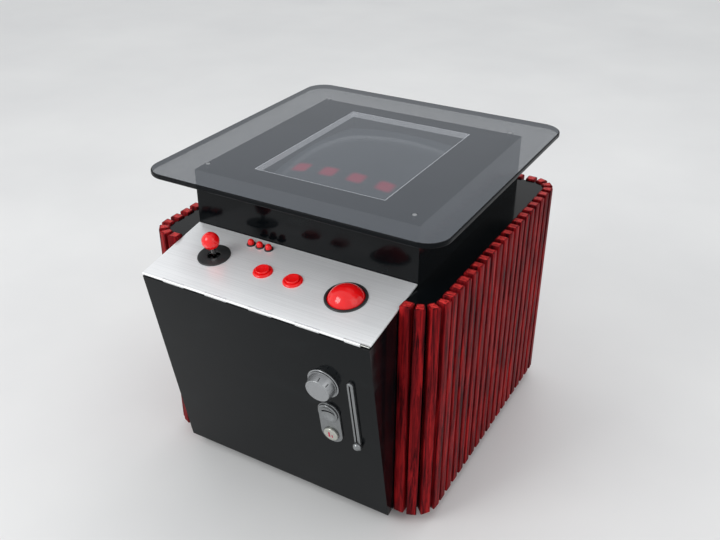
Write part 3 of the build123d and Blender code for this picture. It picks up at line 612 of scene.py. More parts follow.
@dataclass(frozen=True)
class Winding:
    """Enamelled copper wire wound in layers."""

    name: str
    colour: Colour = (0.55, 0.17, 0.06)

    def make(self) -> Material:
        """Builds the winding.

        Returns:
            The material.
        """
        recipe = Recipe(self.name)
        wave = recipe.node("ShaderNodeTexWave")
        wave.bands_direction = "Z"
        recipe.feed(wave.inputs["Vector"], recipe.place)
        wave.inputs["Scale"].default_value = 260.0
        wave.inputs["Distortion"].default_value = 1.5
        turns = wave.outputs["Fac"]
        dark = tuple(0.3 * channel for channel in self.colour)
        recipe.shade(Base_Color=recipe.ramp(turns, [(0.2, dark), (0.7, self.colour)]), Metallic=0.8,
                     Roughness=recipe.span(turns, 0.5, 0.25))
        recipe.emboss(turns, 0.0004, 0.8)
        return recipe.material


# --- meshes ---------------------------------------------------------------------------------


def piece_of(name: str, mesh: Mesh, materials: list[Material],
             sharp: float = CRISP) -> Piece:
    """Turns a mesh into a smooth shaded piece.

    Args:
        name: the piece's name.
        mesh: the finished mesh, which is freed.
        materials: its finishes, in the order of the faces' indices.
        sharp: the angle in degrees above which an edge stays crisp.

    Returns:
        The new object.
    """
    bmesh.ops.recalc_face_normals(mesh, faces=mesh.faces)
    data = bpy.data.meshes.new(name)
    mesh.to_mesh(data)
    mesh.free()
    for polygon in data.polygons:
        polygon.use_smooth = True
    data.set_sharp_from_angle(angle=math.radians(sharp))
    for material in materials:
        data.materials.append(material)
    piece = bpy.data.objects.new(name, data)
    bpy.context.scene.collection.objects.link(piece)
    return piece


def arc(radius: float, start: float, end: float, steps: int, middle: tuple[float, float]) -> Profile:
    """Points along an arc of a profile.

    Args:
        radius: the arc's radius.
        start: its first angle, in degrees.
        end: its last angle, in degrees.
        steps: how many chords it has.
        middle: its centre.

    Returns:
        The points, both ends included.
    """
    angles = [math.radians(start + (end - start) * i / steps) for i in range(steps + 1)]
    return [(middle[0] + radius * math.cos(a), middle[1] + radius * math.sin(a)) for a in angles]


@dataclass(frozen=True)
class Turned:
    """A piece turned on a lathe: a profile in millimetres swept round its axis."""

    name: str
    profile: Profile
    closed: bool = False
    sides: int = 96
    sharp: float = CRISP

    def build(self, seat: Matrix, material: Material) -> Piece:
        """Sweeps the profile.

        Args:
            seat: where the axis stands, with the axis along its own z.
            material: the finish.

        Returns:
            The piece, in the shared frame.
        """
        mesh = bmesh.new()
        sweep_profile(mesh, self.profile, self.closed, self.sides, seat)
        return piece_of(self.name, mesh, [material], self.sharp)


def sweep_profile(mesh: Mesh, profile: Profile, closed: bool, sides: int, seat: Matrix) -> None:
    """Adds a swept profile to a mesh.

    Args:
        mesh: the mesh to add to.
        profile: radii and heights in millimetres. An open profile starts and ends on the axis.
        closed: whether the last point joins the first.
        sides: how many steps the sweep has.
        seat: where the axis stands.
    """
    rings = []
    for radius, height in profile:
        if radius < 1e-6:
            rings.append([mesh.verts.new(seat @ Vector((0.0, 0.0, height * MM)))])
            continue
        ring = []
        for i in range(sides):
            angle = 2.0 * math.pi * i / sides
            spot = Vector((radius * math.cos(angle), radius * math.sin(angle), height)) * MM
            ring.append(mesh.verts.new(seat @ spot))
        rings.append(ring)
    pairs = list(zip(rings, rings[1:]))
    if closed:
        pairs.append((rings[-1], rings[0]))
    for lower, upper in pairs:
        for i in range(sides):
            j = (i + 1) % sides
            corners = [lower[i % len(lower)], lower[j % len(lower)], upper[j % len(upper)],
                       upper[i % len(upper)]]
            mesh.faces.new(list(dict.fromkeys(corners)))


@dataclass(frozen=True)
class Station:
    """One level of a stacked piece: a rounded outline at a height, in millimetres."""

    half_x: float
    half_y: float
    corner: float
    height: float

    def points(self, steps: int, along: int) -> list[Vector]:
        """The outline's points.

        Args:
            steps: how many chords each corner has.
            along: how many lengths each straight side has.

        Returns:
            The points in order.
        """
        corners = []
        for quarter, (right, back) in enumerate(((1, 1), (-1, 1), (-1, -1), (1, -1))):
            middle = (right * (self.half_x - self.corner), back * (self.half_y - self.corner))
            corners.append(arc(self.corner, 90.0 * quarter, 90.0 * quarter + 90.0, steps, middle))
        points = []
        for i, corner in enumerate(corners):
            points += [Vector((*spot, self.height)) for spot in corner]
            last, following = points[-1], Vector((*corners[(i + 1) % 4][0], self.height))
            points += [last.lerp(following, k / along) for k in range(1, along)]
        return points


def stack(mesh: Mesh, stations: list[Station], seat: Matrix, closed: bool = False,
          steps: int = 12, along: int = 1) -> list[bmesh.types.BMFace]:
    """Adds a piece whose outline changes from level to level.

    Args:
        mesh: the mesh to add to.
        stations: its levels in order.
        seat: where it stands.
        closed: whether the last level joins the first, in place of flat ends.
        steps: how many chords each corner has.
        along: how many lengths each straight side has.

    Returns:
        The side faces.
    """
    rings = [[mesh.verts.new(seat @ (point * MM)) for point in station.points(steps, along)]
             for station in stations]
    return join_rings(mesh, rings, closed)


def join_rings(mesh: Mesh, rings: list[list[bmesh.types.BMVert]],
               closed: bool) -> list[bmesh.types.BMFace]:
    """Joins rings of points with faces.

    Args:
        mesh: the mesh to add to.
        rings: the rings in order, all with the same number of points.
        closed: whether the last ring joins the first, in place of flat ends.

    Returns:
        The side faces.
    """
    pairs = list(zip(rings, rings[1:]))
    if closed:
        pairs.append((rings[-1], rings[0]))
    else:
        mesh.faces.new(rings[0][::-1])
        mesh.faces.new(rings[-1])
    sides = []
    count = len(rings[0])
    for lower, upper in pairs:
        for i in range(count):
            j = (i + 1) % count
            sides.append(mesh.faces.new((lower[i], lower[j], upper[j], upper[i])))
    return sides


def add_bar(mesh: Mesh, seat: Matrix, size: Triple) -> None:
    """Adds a small bar with eased edges.

    Args:
        mesh: the mesh to add to.
        seat: its centre.
        size: its length in each direction, in millimetres.
    """
    half_x, half_y, half_z = (length / 2 for length in size)
    ease = min(size) * BAR_EASE
    levels = ((ease, -half_z), (0.0, ease - half_z), (0.0, half_z - ease), (ease, half_z))
    stations = [Station(half_x - inset, half_y - inset, ease, height) for inset, height in levels]
    stack(mesh, stations, seat, steps=3)


def cut_away(piece: Piece, tool: Mesh) -> None:
    """Cuts a shape out of a piece for good, and keeps its flat faces flat.

    Args:
        piece: the piece.
        tool: the closed shape to cut away, which is freed.
    """
    cutter = piece_of("cutter", tool, [])
    cut = piece.modifiers.new("cut", "BOOLEAN")
    cut.object = cutter
    cut.solver = "EXACT"
    shaped = piece.evaluated_get(bpy.context.evaluated_depsgraph_get())
    mesh = bpy.data.meshes.new_from_object(shaped)
    piece.modifiers.clear()
    piece.data = mesh
    bpy.data.objects.remove(cutter)
    mesh.set_sharp_from_angle(angle=math.radians(CRISP_CUT))


def flatten(piece: Piece, least: int = 5) -> None:
    """Shades a piece's large many-sided faces flat.

    Args:
        piece: the piece.
        least: the number of sides from which a face counts as a flat one.
    """
    for polygon in piece.data.polygons:
        if polygon.loop_total >= least:
            polygon.use_smooth = False


def adopt(piece: Piece, body: str, slot: str, *nodes: str) -> None:
    """Gives a new piece its body and hides the nodes that it stands for.

    Args:
        piece: the new piece.
        body: the body it moves with.
        slot: the record's material slot; not used.
        nodes: the nodes it stands for, if any.
    """
    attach(piece, body)
    if nodes:
        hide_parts(*nodes)
    log.info("%s rides on %s", piece.name, body)


# --- sub-assemblies -------------------------------------------------------------------------


class HousingFrame:
    """The control housing's own leaning frame: x across, v back from the front lip, w up."""

    def __init__(self, joints: dict[str, dict]) -> None:
        """Reads the frame from the joints of the lock and the coin slide.

        Args:
            joints: the record's joints by name.
        """
        lock_at = Vector((LOCK_AT[0], 0.0, LOCK_AT[1])) * MM
        across = Vector((1.0, 0.0, 0.0))
        self.back = Vector(joints["lock_turn"]["axis"]).normalized()
        up = Vector(joints["coin_slide_lift"]["axis"]).normalized()
        axes = Matrix((across, self.back, up)).transposed()
        self.axes = axes.to_4x4()
        self.origin = Vector(joints["lock_turn"]["pos_m"]) - axes @ lock_at

    def seat(self, x: float, v: float, w: float = 0.0) -> Matrix:
        """A seat whose z stands off the control plate.

        Args:
            x: the place across, in millimetres.
            v: the place back from the lip.
            w: the height off the plate.

        Returns:
            The matrix.
        """
        return Matrix.Translation(self.origin) @ self.axes @ Matrix.Translation(Vector((x, v, w)) * MM)

    def door_seat(self, x: float, w: float, out: float = 0.0) -> Matrix:
        """A seat whose z stands out of the door.

        Args:
            x: the place across, in millimetres.
            w: the height from the lip, down being negative.
            out: how far out of the door's face.

        Returns:
            The matrix.
        """
        return self.seat(x, -out, w) @ Matrix.Rotation(math.radians(90.0), 4, "X")


@dataclass
class SlatRows:
    """The upright slats: three straight rows and the staves round the corners."""

    wide: float = 21.0 * MM
    deep: float = 22.0 * MM
    inner_wide: float = 14.0 * MM
    ease: float = 1.6 * MM
    ease_steps: int = 3
    ease_round: float = 0.35
    foot_bevel: float = 1.2 * MM
    foot_size: float = 0.86
    crown: float = 2.6 * MM
    crown_steps: tuple[tuple[float, float], ...] = ((1.0, 1.0), (0.45, 0.955), (0.1, 0.86), (0.0, 0.70))
    wander: float = 0.22 * MM
    grain_apart: float = 9.0
    corner: float = 55.0 * MM
    front_x: float = 261.8 * MM
    side_count: int = 17
    back_count: int = 18
    stave_angles: tuple[float, ...] = (5.0, 37.0, 68.0)
    stations: int = 22
    seed: int = 5

    def __post_init__(self) -> None:
        """Reads the body's size, and makes the two cuts of the timber."""
        left_low, left_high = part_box("slats_left")
        back_low, back_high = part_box("slats_back")
        self.foot, self.top = left_low[2], left_high[2]
        self.half = -left_low[0]
        self.middle = Vector((0.0, (left_low[1] + left_high[1]) / 2, 0.0))
        self.side_pitch = (left_high[1] - left_low[1] - self.wide) / (self.side_count - 1)
        self.back_pitch = (back_high[0] - back_low[0] - self.wide) / (self.back_count - 1)
        self.timber = [FiguredHardwood("red_hardwood_long", Cut.LONG).make(),
                       FiguredHardwood("red_hardwood_end", Cut.END).make()]
        self.chance = random.Random(self.seed)

    def section(self, inner: float) -> list[Vector]:
        """A slat's section with eased edges, its outer face towards -y.

        Args:
            inner: the width of its inner face.

        Returns:
            The outline, anticlockwise.
        """
        out, back, half = self.wide / 2, inner / 2, self.deep / 2
        corners = [Vector(spot) for spot in ((-out, -half), (out, -half), (back, half), (-back, half))]
        points = []
        for i, corner in enumerate(corners):
            before = (corners[i - 1] - corner).normalized()
            after = (corners[(i + 1) % 4] - corner).normalized()
            for step in range(self.ease_steps + 1):
                t = step / self.ease_steps
                bend = 2.0 * t * (1.0 - t)
                pull = before * (1.0 - t) * (1.0 - t / 2) + after * t * (0.5 + t / 2)
                points.append(corner + self.ease * pull * (1.0 - bend * self.ease_round))
        return points

    def add_slat(self, mesh: Mesh, shifts: list[Vector], inner: float, seat: Matrix) -> None:
        """Adds one slat with crowned ends and slightly wandering edges.

        Args:
            mesh: the row's mesh.
            shifts: each face's grain shift, added to here.
            inner: the width of its inner face.
            seat: where the slat's foot stands.
        """
        outline = self.section(inner)
        rise = self.top - self.foot
        levels = [(0.0, self.foot_size), (self.foot_bevel, 1.0)]
        levels += [(rise * k / self.stations, 1.0) for k in range(1, self.stations)]
        levels += [(rise - share * self.crown, size) for share, size in self.crown_steps]
        drift = [self.chance.uniform(-1.0, 1.0) for _ in range(4)]
        rings = []
        for height, size in levels:
            t = height / rise
            slow = drift[0] * math.sin(3.0 * t + drift[1])
            quick = drift[2] * math.sin(9.0 * t + drift[3])
            sway = self.wander * (slow + 0.5 * quick)
            level = [Vector((size * p.x + sway, size * p.y, height)) for p in outline]
            rings.append([mesh.verts.new(seat @ point) for point in level])
        apart = self.grain_apart
        shift = Vector([self.chance.uniform(-apart, apart) for _ in range(3)])
        count = len(outline)
        for lower, upper in zip(rings, rings[1:]):
            for i in range(count):
                mesh.faces.new((lower[i], lower[(i + 1) % count], upper[(i + 1) % count], upper[i]))
                shifts.append(shift)
        mesh.faces.new(rings[0][::-1]).material_index = 1
        mesh.faces.new(rings[-1]).material_index = 1
        shifts += [shift, shift]

    def finish_row(self, node: str, mesh: Mesh, shifts: list[Vector]) -> None:
        """Makes a row's piece and stores each slat's grain shift on its faces.

        Args:
            node: the node that the row stands for.
            mesh: the row's mesh.
            shifts: each face's grain shift.
        """
        row = piece_of(node + "_figured", mesh, self.timber, CRISP_WIDE)
        store = row.data.attributes.new(GRAIN_SHIFT, "FLOAT_VECTOR", "FACE")
        store.data.foreach_set("vector", [number for shift in shifts for number in shift])
        adopt(row, "cabinet", "red_hardwood", node)

    def straight_row(self, node: str, count: int, pitch: float, turn: float) -> None:
        """Builds one straight row.

        Args:
            node: the node that the row stands for.
            count: how many slats it has.
            pitch: their spacing.
            turn: the way the row faces, in degrees from the front.
        """
        mesh = bmesh.new()
        shifts: list[Vector] = []
        facing = Matrix.Translation(self.middle) @ Matrix.Rotation(math.radians(turn), 4, "Z")
        for i in range(count):
            along = (i - (count - 1) / 2) * pitch
            spot = Vector((along, self.deep / 2 - self.half, self.foot))
            self.add_slat(mesh, shifts, self.wide, facing @ Matrix.Translation(spot))
        self.finish_row(node, mesh, shifts)

    def corner_staves(self) -> None:
        """Builds the tapered staves round the corners and the two slats beside the control housing."""
        mesh = bmesh.new()
        shifts: list[Vector] = []
        centre, radius = self.half - self.corner, self.corner - self.deep / 2
        home = Matrix.Translation(self.middle)
        for angle in self.stave_angles:
            a = math.radians(angle)
            x, y = centre + radius * math.cos(a), centre + radius * math.sin(a)
            for right in (1, -1):
                for back in (1, -1):
                    facing = math.degrees(math.atan2(back * math.sin(a), right * math.cos(a))) + 90.0
                    spot = Matrix.Translation((right * x, back * y, self.foot))
                    seat = home @ spot @ Matrix.Rotation(math.radians(facing), 4, "Z")
                    self.add_slat(mesh, shifts, self.inner_wide, seat)
        for side in (1, -1):
            spot = Vector((side * self.front_x, self.deep / 2 - self.half, self.foot))
            self.add_slat(mesh, shifts, self.wide, home @ Matrix.Translation(spot))
        self.finish_row("slats_corners", mesh, shifts)

    def build(self) -> None:
        """Builds every row."""
        self.straight_row("slats_left", self.side_count, self.side_pitch, -90.0)
        self.straight_row("slats_right", self.side_count, self.side_pitch, 90.0)
        self.straight_row("slats_back", self.back_count, self.back_pitch, 180.0)
        self.corner_staves()


@dataclass
class TableTop:
    """The smoked glass with its polished rim and bolt holes."""

    corner: float = 48.0
    pencil: float = 2.6
    bolt_at: float = 229.6
    shank_hole: float = 3.4
    head_hole: float = 5.2
    head_floor: float = 6.0
    drill_foot: float = -2.0
    drill_top: float = 12.0

    def build(self) -> None:
        """Builds the glass and drills it."""
        low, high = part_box("table_glass")
        half = (high[0] - low[0]) / 2 / MM
        thick = (high[2] - low[2]) / MM
        home = Matrix.Translation(((low[0] + high[0]) / 2, (low[1] + high[1]) / 2, low[2]))
        edge = [(self.pencil * (1 - math.cos(a)), self.pencil * (1 - math.sin(a)))
                for a in [math.radians(15.0 * k) for k in range(7)]]
        levels = edge + [(thick - rise, inset) for rise, inset in reversed(edge)]
        mesh = bmesh.new()
        stations = [Station(half - inset, half - inset, self.corner - inset, rise)
                    for rise, inset in levels]
        for face in stack(mesh, stations, home, steps=16):
            face.material_index = 1
        clear = SmokedGlass("smoked_plate_glass", (0.078, 0.090, 0.108), cover=0.61, rough=0.010).make()
        rim = SmokedGlass("glass_ground_edge", (0.004, 0.005, 0.006), cover=0.98, rough=0.22,
                          shine=0.06).make()
        glass = piece_of("smoked_glass_top", mesh, [clear, rim])
        cut_away(glass, self._drills(home))
        flatten(glass)
        adopt(glass, "cabinet", "tinted_glass", "table_glass")

    def _drills(self, home: Matrix) -> Mesh:
        """The four stepped drills for the bolt holes.

        Args:
            home: the glass's centre, at its lower face.

        Returns:
            Their mesh.
        """
        tool = bmesh.new()
        shank, head, floor = self.shank_hole, self.head_hole, self.head_floor
        foot, top = self.drill_foot, self.drill_top
        profile = [(0.0, foot), (shank, foot), (shank, floor), (head, floor), (head, top), (0.0, top)]
        for x in (-self.bolt_at, self.bolt_at):
            for y in (-self.bolt_at, self.bolt_at):
                seat = home @ Matrix.Translation(Vector((x, y, 0.0)) * MM)
                sweep_profile(tool, profile, False, 40, seat)
        return tool


@dataclass
class PictureTube:
    """The picture tube: a domed face, a skirt, a funnel and a neck."""

    corner: float = 42.0
    dome: float = 1000.0
    skirt_foot: float = 325.0
    throat: float = 165.0
    throat_radius: float = 58.0
    neck_radius: float = 14.6
    face_levels: int = 14
    funnel_levels: int = 12
    edge_drop: float = 1.6
    hub: float = 0.1

    def build(self) -> None:
        """Builds the tube, standing on its neck's end."""
        low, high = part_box("crt_tube")
        half_x, half_y = (high[0] - low[0]) / 2 / MM, (high[1] - low[1]) / 2 / MM
        apex = (high[2] - low[2]) / MM
        home = Matrix.Translation(((low[0] + high[0]) / 2, (low[1] + high[1]) / 2, low[2]))
        around = Station(half_x, half_y, self.corner, 0.0).points(10, 14)
        mesh = bmesh.new()
        rings = [self._circle(around, self.neck_radius, height) for height in (0.0, self.throat)]
        for k in range(self.funnel_levels):
            share = k / (self.funnel_levels - 1)
            circle = self._circle(around, self.throat_radius, 0.0)
            height = self.throat + share * (self.skirt_foot - self.throat)
            rings.append([c.lerp(p, share) + Vector((0.0, 0.0, height)) for c, p in zip(circle, around)])
        for k in range(self.face_levels):
            size = 1.0 - (1.0 - self.hub) * k / (self.face_levels - 1)
            drop = self.edge_drop if k == 0 else 0.0
            rings.append([self._on_dome(point * size, apex, drop) for point in around])
        cage = [[mesh.verts.new(home @ (point * MM)) for point in ring] for ring in rings]
        join_rings(mesh, cage, False)
        coating = TubeFace("picture_tube_coatings", self.skirt_foot).make(home)
        tube = piece_of("domed_picture_tube", mesh, [coating], CRISP_WIDE)
        adopt(tube, "cabinet", "tube_glass", "crt_tube")

    def _circle(self, around: list[Vector], radius: float, height: float) -> list[Vector]:
        """A circle whose points lie the same way as an outline's.

        Args:
            around: the outline.
            radius: the circle's radius.
            height: its height.

        Returns:
            The points.
        """
        return [point.normalized() * radius + Vector((0.0, 0.0, height)) for point in around]

    def _on_dome(self, point: Vector, apex: float, drop: float) -> Vector:
        """A point raised to the domed face.

        Args:
            point: the flat point.
            apex: the dome's highest level.
            drop: how far below the dome the point stays.

        Returns:
            The raised point.
        """
        sag = self.dome - math.sqrt(self.dome ** 2 - point.length_squared)
        return Vector((point.x, point.y, apex - sag - drop))


@dataclass
class ControlPanel:
    """The stick, ball and buttons on the steel plate."""

    housing: HousingFrame
    stick: tuple[float, float] = (-151.0, 100.0)
    ball: Triple = (149.5, 96.0, -15.0)
    action_at: tuple[tuple[float, float], ...] = ((-33.0, 97.0), (35.0, 96.0))
    small_at: tuple[tuple[float, float], ...] = ((-104.0, 159.5), (-83.0, 159.5), (-62.0, 159.5))
    top_radius: float = 17.5
    top_height: float = 36.0
    track_radius: float = 38.1
    action_barrel: float = 15.0
    action_nut: float = 20.0
    small_barrel: float = 7.4
    small_nut: float = 9.6

    def __post_init__(self) -> None:
        """Makes the plastics."""
        self.red = Moulding("red_gloss_moulding", (0.86, 0.002, 0.003), 0.26, coat=0.12, texture=900.0,
                            depth=0.00002, flow=0.05).make()
        self.black = Moulding("black_satin_moulding", (0.016, 0.017, 0.018), 0.34, texture=900.0,
                              depth=0.00006).make()
        self.phenolic = Moulding("red_ball_resin", (0.84, 0.002, 0.004), 0.16, coat=0.22, texture=200.0,
                                 depth=0.00001, flow=0.06).make()

    def build_stick(self) -> None:
        """Builds the ball top and the disc round the stick."""
        r, w = self.top_radius, self.top_height
        profile = [(0.0, w - 10.0), (4.6, w - 10.0), (4.6, w - 16.4), (5.4, w - 16.9), (6.4, w - 16.6)]
        profile += arc(r, -66.0, 90.0, 40, (0.0, w))[:-1] + [(0.0, w + r)]
        top = Turned("stick_ball_top", profile).build(self.housing.seat(*self.stick), self.phenolic)
        adopt(top, "stick", "red_gloss", "joystick_ball")
        disc = [(12.5, 0.0), (12.5, 1.7), (13.0, 2.1), (14.2, 2.2), (24.0, 2.35), (30.4, 2.5)]
        disc += arc(1.6, 80.0, 5.0, 6, (31.4, 0.9)) + [(33.0, 0.0)]
        disc_piece = Turned("stick_disc", disc, True).build(self.housing.seat(*self.stick), self.black)
        adopt(disc_piece, "control_panel", "black_plastic", "joystick_escutcheon")

    def build_buttons(self) -> None:
        """Builds the five buttons, their housings and their nuts."""
        plunger = [(0.0, 6.7), (5.0, 6.8), (9.0, 7.2), (11.4, 7.8)] + arc(1.3, 80.0, 0.0, 5, (12.2, 6.6))
        plunger += [(13.5, -14.0), (4.0, -14.0), (4.0, -35.0), (0.0, -35.0)]
        for side, place in zip(("left", "right"), self.action_at):
            button = Turned(f"action_plunger_{side}", plunger).build(self.housing.seat(*place), self.red)
            adopt(button, f"action_{side}", "red_gloss", f"action_button_{side}")
        dome = [(0.0, 12.0)] + arc(6.4, 84.0, 0.0, 14, (0.0, 5.6)) + [(6.4, -10.0)]
        dome += [(2.0, -10.0), (2.0, -23.0), (0.0, -23.0)]
        for side, place in zip(("left", "middle", "right"), self.small_at):
            seat = self.housing.seat(*place)
            button = Turned(f"start_plunger_{side}", dome, sides=64).build(seat, self.red)
            adopt(button, f"start_{side}", "red_gloss", f"small_button_{side}")
        self._button_housings()

    def _button_housings(self) -> None:
        """Builds the red and the black collars with their threaded barrels and nuts."""
        barrel = self.action_barrel
        wide = [(13.6, -34.0), (13.6, 2.9), (14.0, 3.7), (14.8, 4.0), (16.8, 3.7), (18.6, 2.7), (19.4, 1.3),
                (19.5, 0.0), (barrel, 0.0), (barrel, -34.0)]
        barrel = self.small_barrel
        slim = [(6.6, -22.0), (6.6, 1.8), (7.0, 2.4), (7.9, 2.3), (8.8, 1.6), (9.2, 0.6), (9.2, 0.0),
                (barrel, 0.0), (barrel, -22.0)]
        mesh = bmesh.new()
        for place in self.action_at:
            sweep_profile(mesh, wide, True, 96, self.housing.seat(*place))
        collars = piece_of("action_collars", mesh, [self.red])
        adopt(collars, "control_panel", "red_gloss", "button_barrels")
        mesh = bmesh.new()
        for place in self.small_at:
            sweep_profile(mesh, slim, True, 64, self.housing.seat(*place))
            self._nut(mesh, place, self.small_barrel, self.small_nut)
        for place in self.action_at:
            self._nut(mesh, place, self.action_barrel, self.action_nut)
        rest = piece_of("start_collars_and_nuts", mesh, [self.black])
        adopt(rest, "control_panel", "black_plastic", "button_barrels")

    def _nut(self, mesh: Mesh, place: tuple[float, float], bore: float, across: float) -> None:
        """Adds an eight-sided nut under the plate.

        Args:
            mesh: the mesh to add to.
            place: where it is on the plate.
            bore: its bore's radius.
            across: half its width across flats.
        """
        rim = across / math.cos(math.radians(22.5))
        profile = [(bore, -3.0), (rim, -3.0), (rim, -7.2), (rim - 0.9, -8.0), (bore, -8.0)]
        sweep_profile(mesh, profile, True, 8, self.housing.seat(*place))

    def build_trackball(self) -> None:
        """Builds the ball and the ring round it."""
        x, v, w = self.ball
        r = self.track_radius
        profile = [(0.0, -r)] + arc(r, -88.0, 88.0, 88, (0.0, 0.0)) + [(0.0, r)]
        seat = self.housing.seat(x, v, w)
        ball = Turned("trackball_polished", profile, sides=128).build(seat, self.phenolic)
        adopt(ball, "ball", "red_gloss", "trackball_ball")
        ring = [(35.6, 0.0), (35.6, 2.2), (36.1, 2.9), (36.9, 3.0), (38.6, 2.7)]
        ring += arc(1.9, 60.0, 0.0, 5, (38.6, 1.0)) + [(40.5, 0.0)]
        piece = Turned("trackball_bezel", ring, True, 128).build(self.housing.seat(x, v), self.black)
        adopt(piece, "control_panel", "black_plastic", "trackball_ring")

    def build(self) -> None:
        """Builds everything on the plate."""
        self.build_stick()
        self.build_buttons()
        self.build_trackball()


@dataclass
class CoinDoor:
    """The lock, the coin entry, the reject button and the coin slide on the door."""

    housing: HousingFrame
    lock: tuple[float, float] = LOCK_AT
    cup: tuple[float, float] = (146.0, -205.0)
    reject: tuple[float, float] = (146.0, -264.0)
    guide: tuple[float, float] = (203.0, -193.0)
    slide_drop: float = -270.0
    knob_radius: float = 24.5
    knob_foot: float = 30.0
    knob_out: float = 23.0
    plate_radius: float = 23.5
    guide_half: float = 91.0
    guide_wide: float = 6.5
    flange_radius: float = 33.0
    knob_foot_out: float = 3.2
    mark_turns: tuple[float, ...] = (8.0, 48.0)
    mark_size: Triple = (1.5, 1.1, 8.2)
    cup_bore: float = 19.0
    reject_bore: float = 15.8
    dish_radius: float = 31.5
    dish_top: float = 34.0
    dish_step: float = 3.4
    dish_steps: int = 10
    coin_slot: Triple = (28.0, 3.6, 30.0)
    slide_radius: float = 8.6
    slide_out: float = 6.5
    mark_out: float = 9.22

    def __post_init__(self) -> None:
        """Makes the metals and the inks."""
        centre = tuple(self.housing.door_seat(*self.lock).translation)
        # each of these three metals is darkened in its creases and hollows as painted shade
        self.turned = Metal("turned_knob_metal", (0.38, 0.39, 0.40), 0.20, 0.32, depth=0.00003, metallic=0.72,
                            centre=centre, axis=tuple(self.housing.back), painted_shade=0.9).make()
        self.cast = Metal("polished_casting", (0.27, 0.28, 0.285), 0.14, 0.30, fine=3.0, depth=0.00003,
                          metallic=0.80, painted_shade=0.95).make()
        self.pale = Metal("reject_button_metal", (0.50, 0.51, 0.46), 0.22, 0.36, fine=3.0, depth=0.00003,
                          metallic=0.55, painted_shade=0.9).make()
        self.ink = Moulding("index_mark_black", (0.006, 0.006, 0.007), 0.5).make()
        self.paint = Moulding("reject_mark_red", (0.50, 0.006, 0.05), 0.4).make()

    def build_lock(self) -> None:
        """Builds the lock's flange, its knob and the two index marks."""
        seat = self.housing.door_seat(*self.lock)
        edge = self.flange_radius
        flange = [(6.1, 0.0), (6.1, 2.4), (25.0, 2.6), (26.4, 3.0)]
        flange += arc(1.3, 90.0, 0.0, 6, (edge - 1.3, 1.7)) + [(edge, 0.0)]
        piece = Turned("lock_rose", flange, True, 128).build(seat, self.turned)
        adopt(piece, "door", "chrome", "lock_flange")
        r, foot, out, low = self.knob_radius, self.knob_foot, self.knob_out, self.knob_foot_out
        knob = [(0.0, low), (foot - 0.6, low), (foot, 3.8), (foot - 0.3, 5.0), (foot - 1.1, 5.3)]
        knob += arc(1.3, 12.0, 85.0, 6, (r - 1.0, out - 1.3))
        knob += [(r - 3.0, out - 0.05), (r - 3.4, out - 0.35), (6.0, out - 0.3), (0.0, out - 0.3)]
        piece = Turned("lock_turned_knob", knob, sides=128).build(seat, self.turned)
        adopt(piece, "lock", "chrome", "lock_knob")
        mesh = bmesh.new()
        flank = math.atan2(foot - r, out - low)
        for turn in self.mark_turns:
            spot = Vector((0.0, r + 1.55, out - 6.2)) * MM
            mark = Matrix.Rotation(math.radians(-turn), 4, "Z") @ Matrix.Translation(spot)
            add_bar(mesh, seat @ mark @ Matrix.Rotation(flank, 4, "X"), self.mark_size)
        adopt(piece_of("lock_index_marks", mesh, [self.ink]), "lock", "black_plastic")

    def build_coin_entry(self) -> None:
        """Builds the long plate, the dished coin cup and the reject button."""
        x, middle = self.cup[0], (self.cup[1] + self.reject[1]) / 2
        r, reach = self.plate_radius, self.plate_radius + (self.cup[1] - self.reject[1]) / 2
        levels = ((0.0, 0.0), (0.0, 3.0), (0.3, 3.6), (1.0, 4.0))
        stations = [Station(r - inset, reach - inset, r - inset, rise) for inset, rise in levels]
        mesh = bmesh.new()
        stack(mesh, stations, self.housing.door_seat(x, middle), steps=20)
        plate = piece_of("coin_plate", mesh, [self.cast])
        cut_away(plate, self._bores())
        flatten(plate)
        adopt(plate, "door", "zinc_casting", "coin_escutcheon")
        seat = self.housing.door_seat(*self.cup)
        slopes = [math.radians(self.dish_step * k) for k in range(self.dish_steps + 1)]
        bowl, top = self.dish_radius, self.dish_top
        dish = [(bowl * math.sin(a), top - bowl * math.cos(a)) for a in slopes]
        profile = dish + [(19.2, 8.0)] + arc(1.2, 85.0, 0.0, 5, (19.8, 6.8)) + [(21.0, 4.0), (18.9, 4.0)]
        profile += [(18.9, 0.0), (0.0, 0.0)]
        cup = Turned("dished_coin_cup", profile, sides=128).build(seat, self.cast)
        slot = bmesh.new()
        add_bar(slot, seat, self.coin_slot)
        cut_away(cup, slot)
        adopt(cup, "door", "zinc_casting", "coin_entry_cup")
        self._build_reject()

    def _bores(self) -> Mesh:
        """The shapes of the two holes in the long plate.

        Returns:
            Their mesh.
        """
        tool = bmesh.new()
        for place, radius in ((self.cup, self.cup_bore), (self.reject, self.reject_bore)):
            profile = [(0.0, -5.0), (radius, -5.0), (radius, 9.0), (0.0, 9.0)]
            sweep_profile(tool, profile, False, 96, self.housing.door_seat(*place))
        return tool

    def _build_reject(self) -> None:
        """Builds the round reject button and its plain mark."""
        seat = self.housing.door_seat(*self.reject)
        profile = [(0.0, 9.3), (8.0, 9.25)] + arc(2.6, 84.0, 0.0, 8, (12.9, 6.7))
        profile += [(15.5, -0.5), (8.9, -0.5), (8.9, -14.0), (0.0, -14.0)]
        button = Turned("reject_push_button", profile, sides=128).build(seat, self.pale)
        adopt(button, "reject", "chrome", "reject_button")
        mesh = bmesh.new()
        for x, y, wide, tall in ((-2.6, 0.4, 3.6, 13.0), (3.8, -2.4, 2.4, 7.6)):
            spot = Matrix.Translation(Vector((x, y, self.mark_out)) * MM)
            add_bar(mesh, seat @ spot, (wide, tall, 0.5))
        adopt(piece_of("reject_mark", mesh, [self.paint]), "reject", "red_gloss")

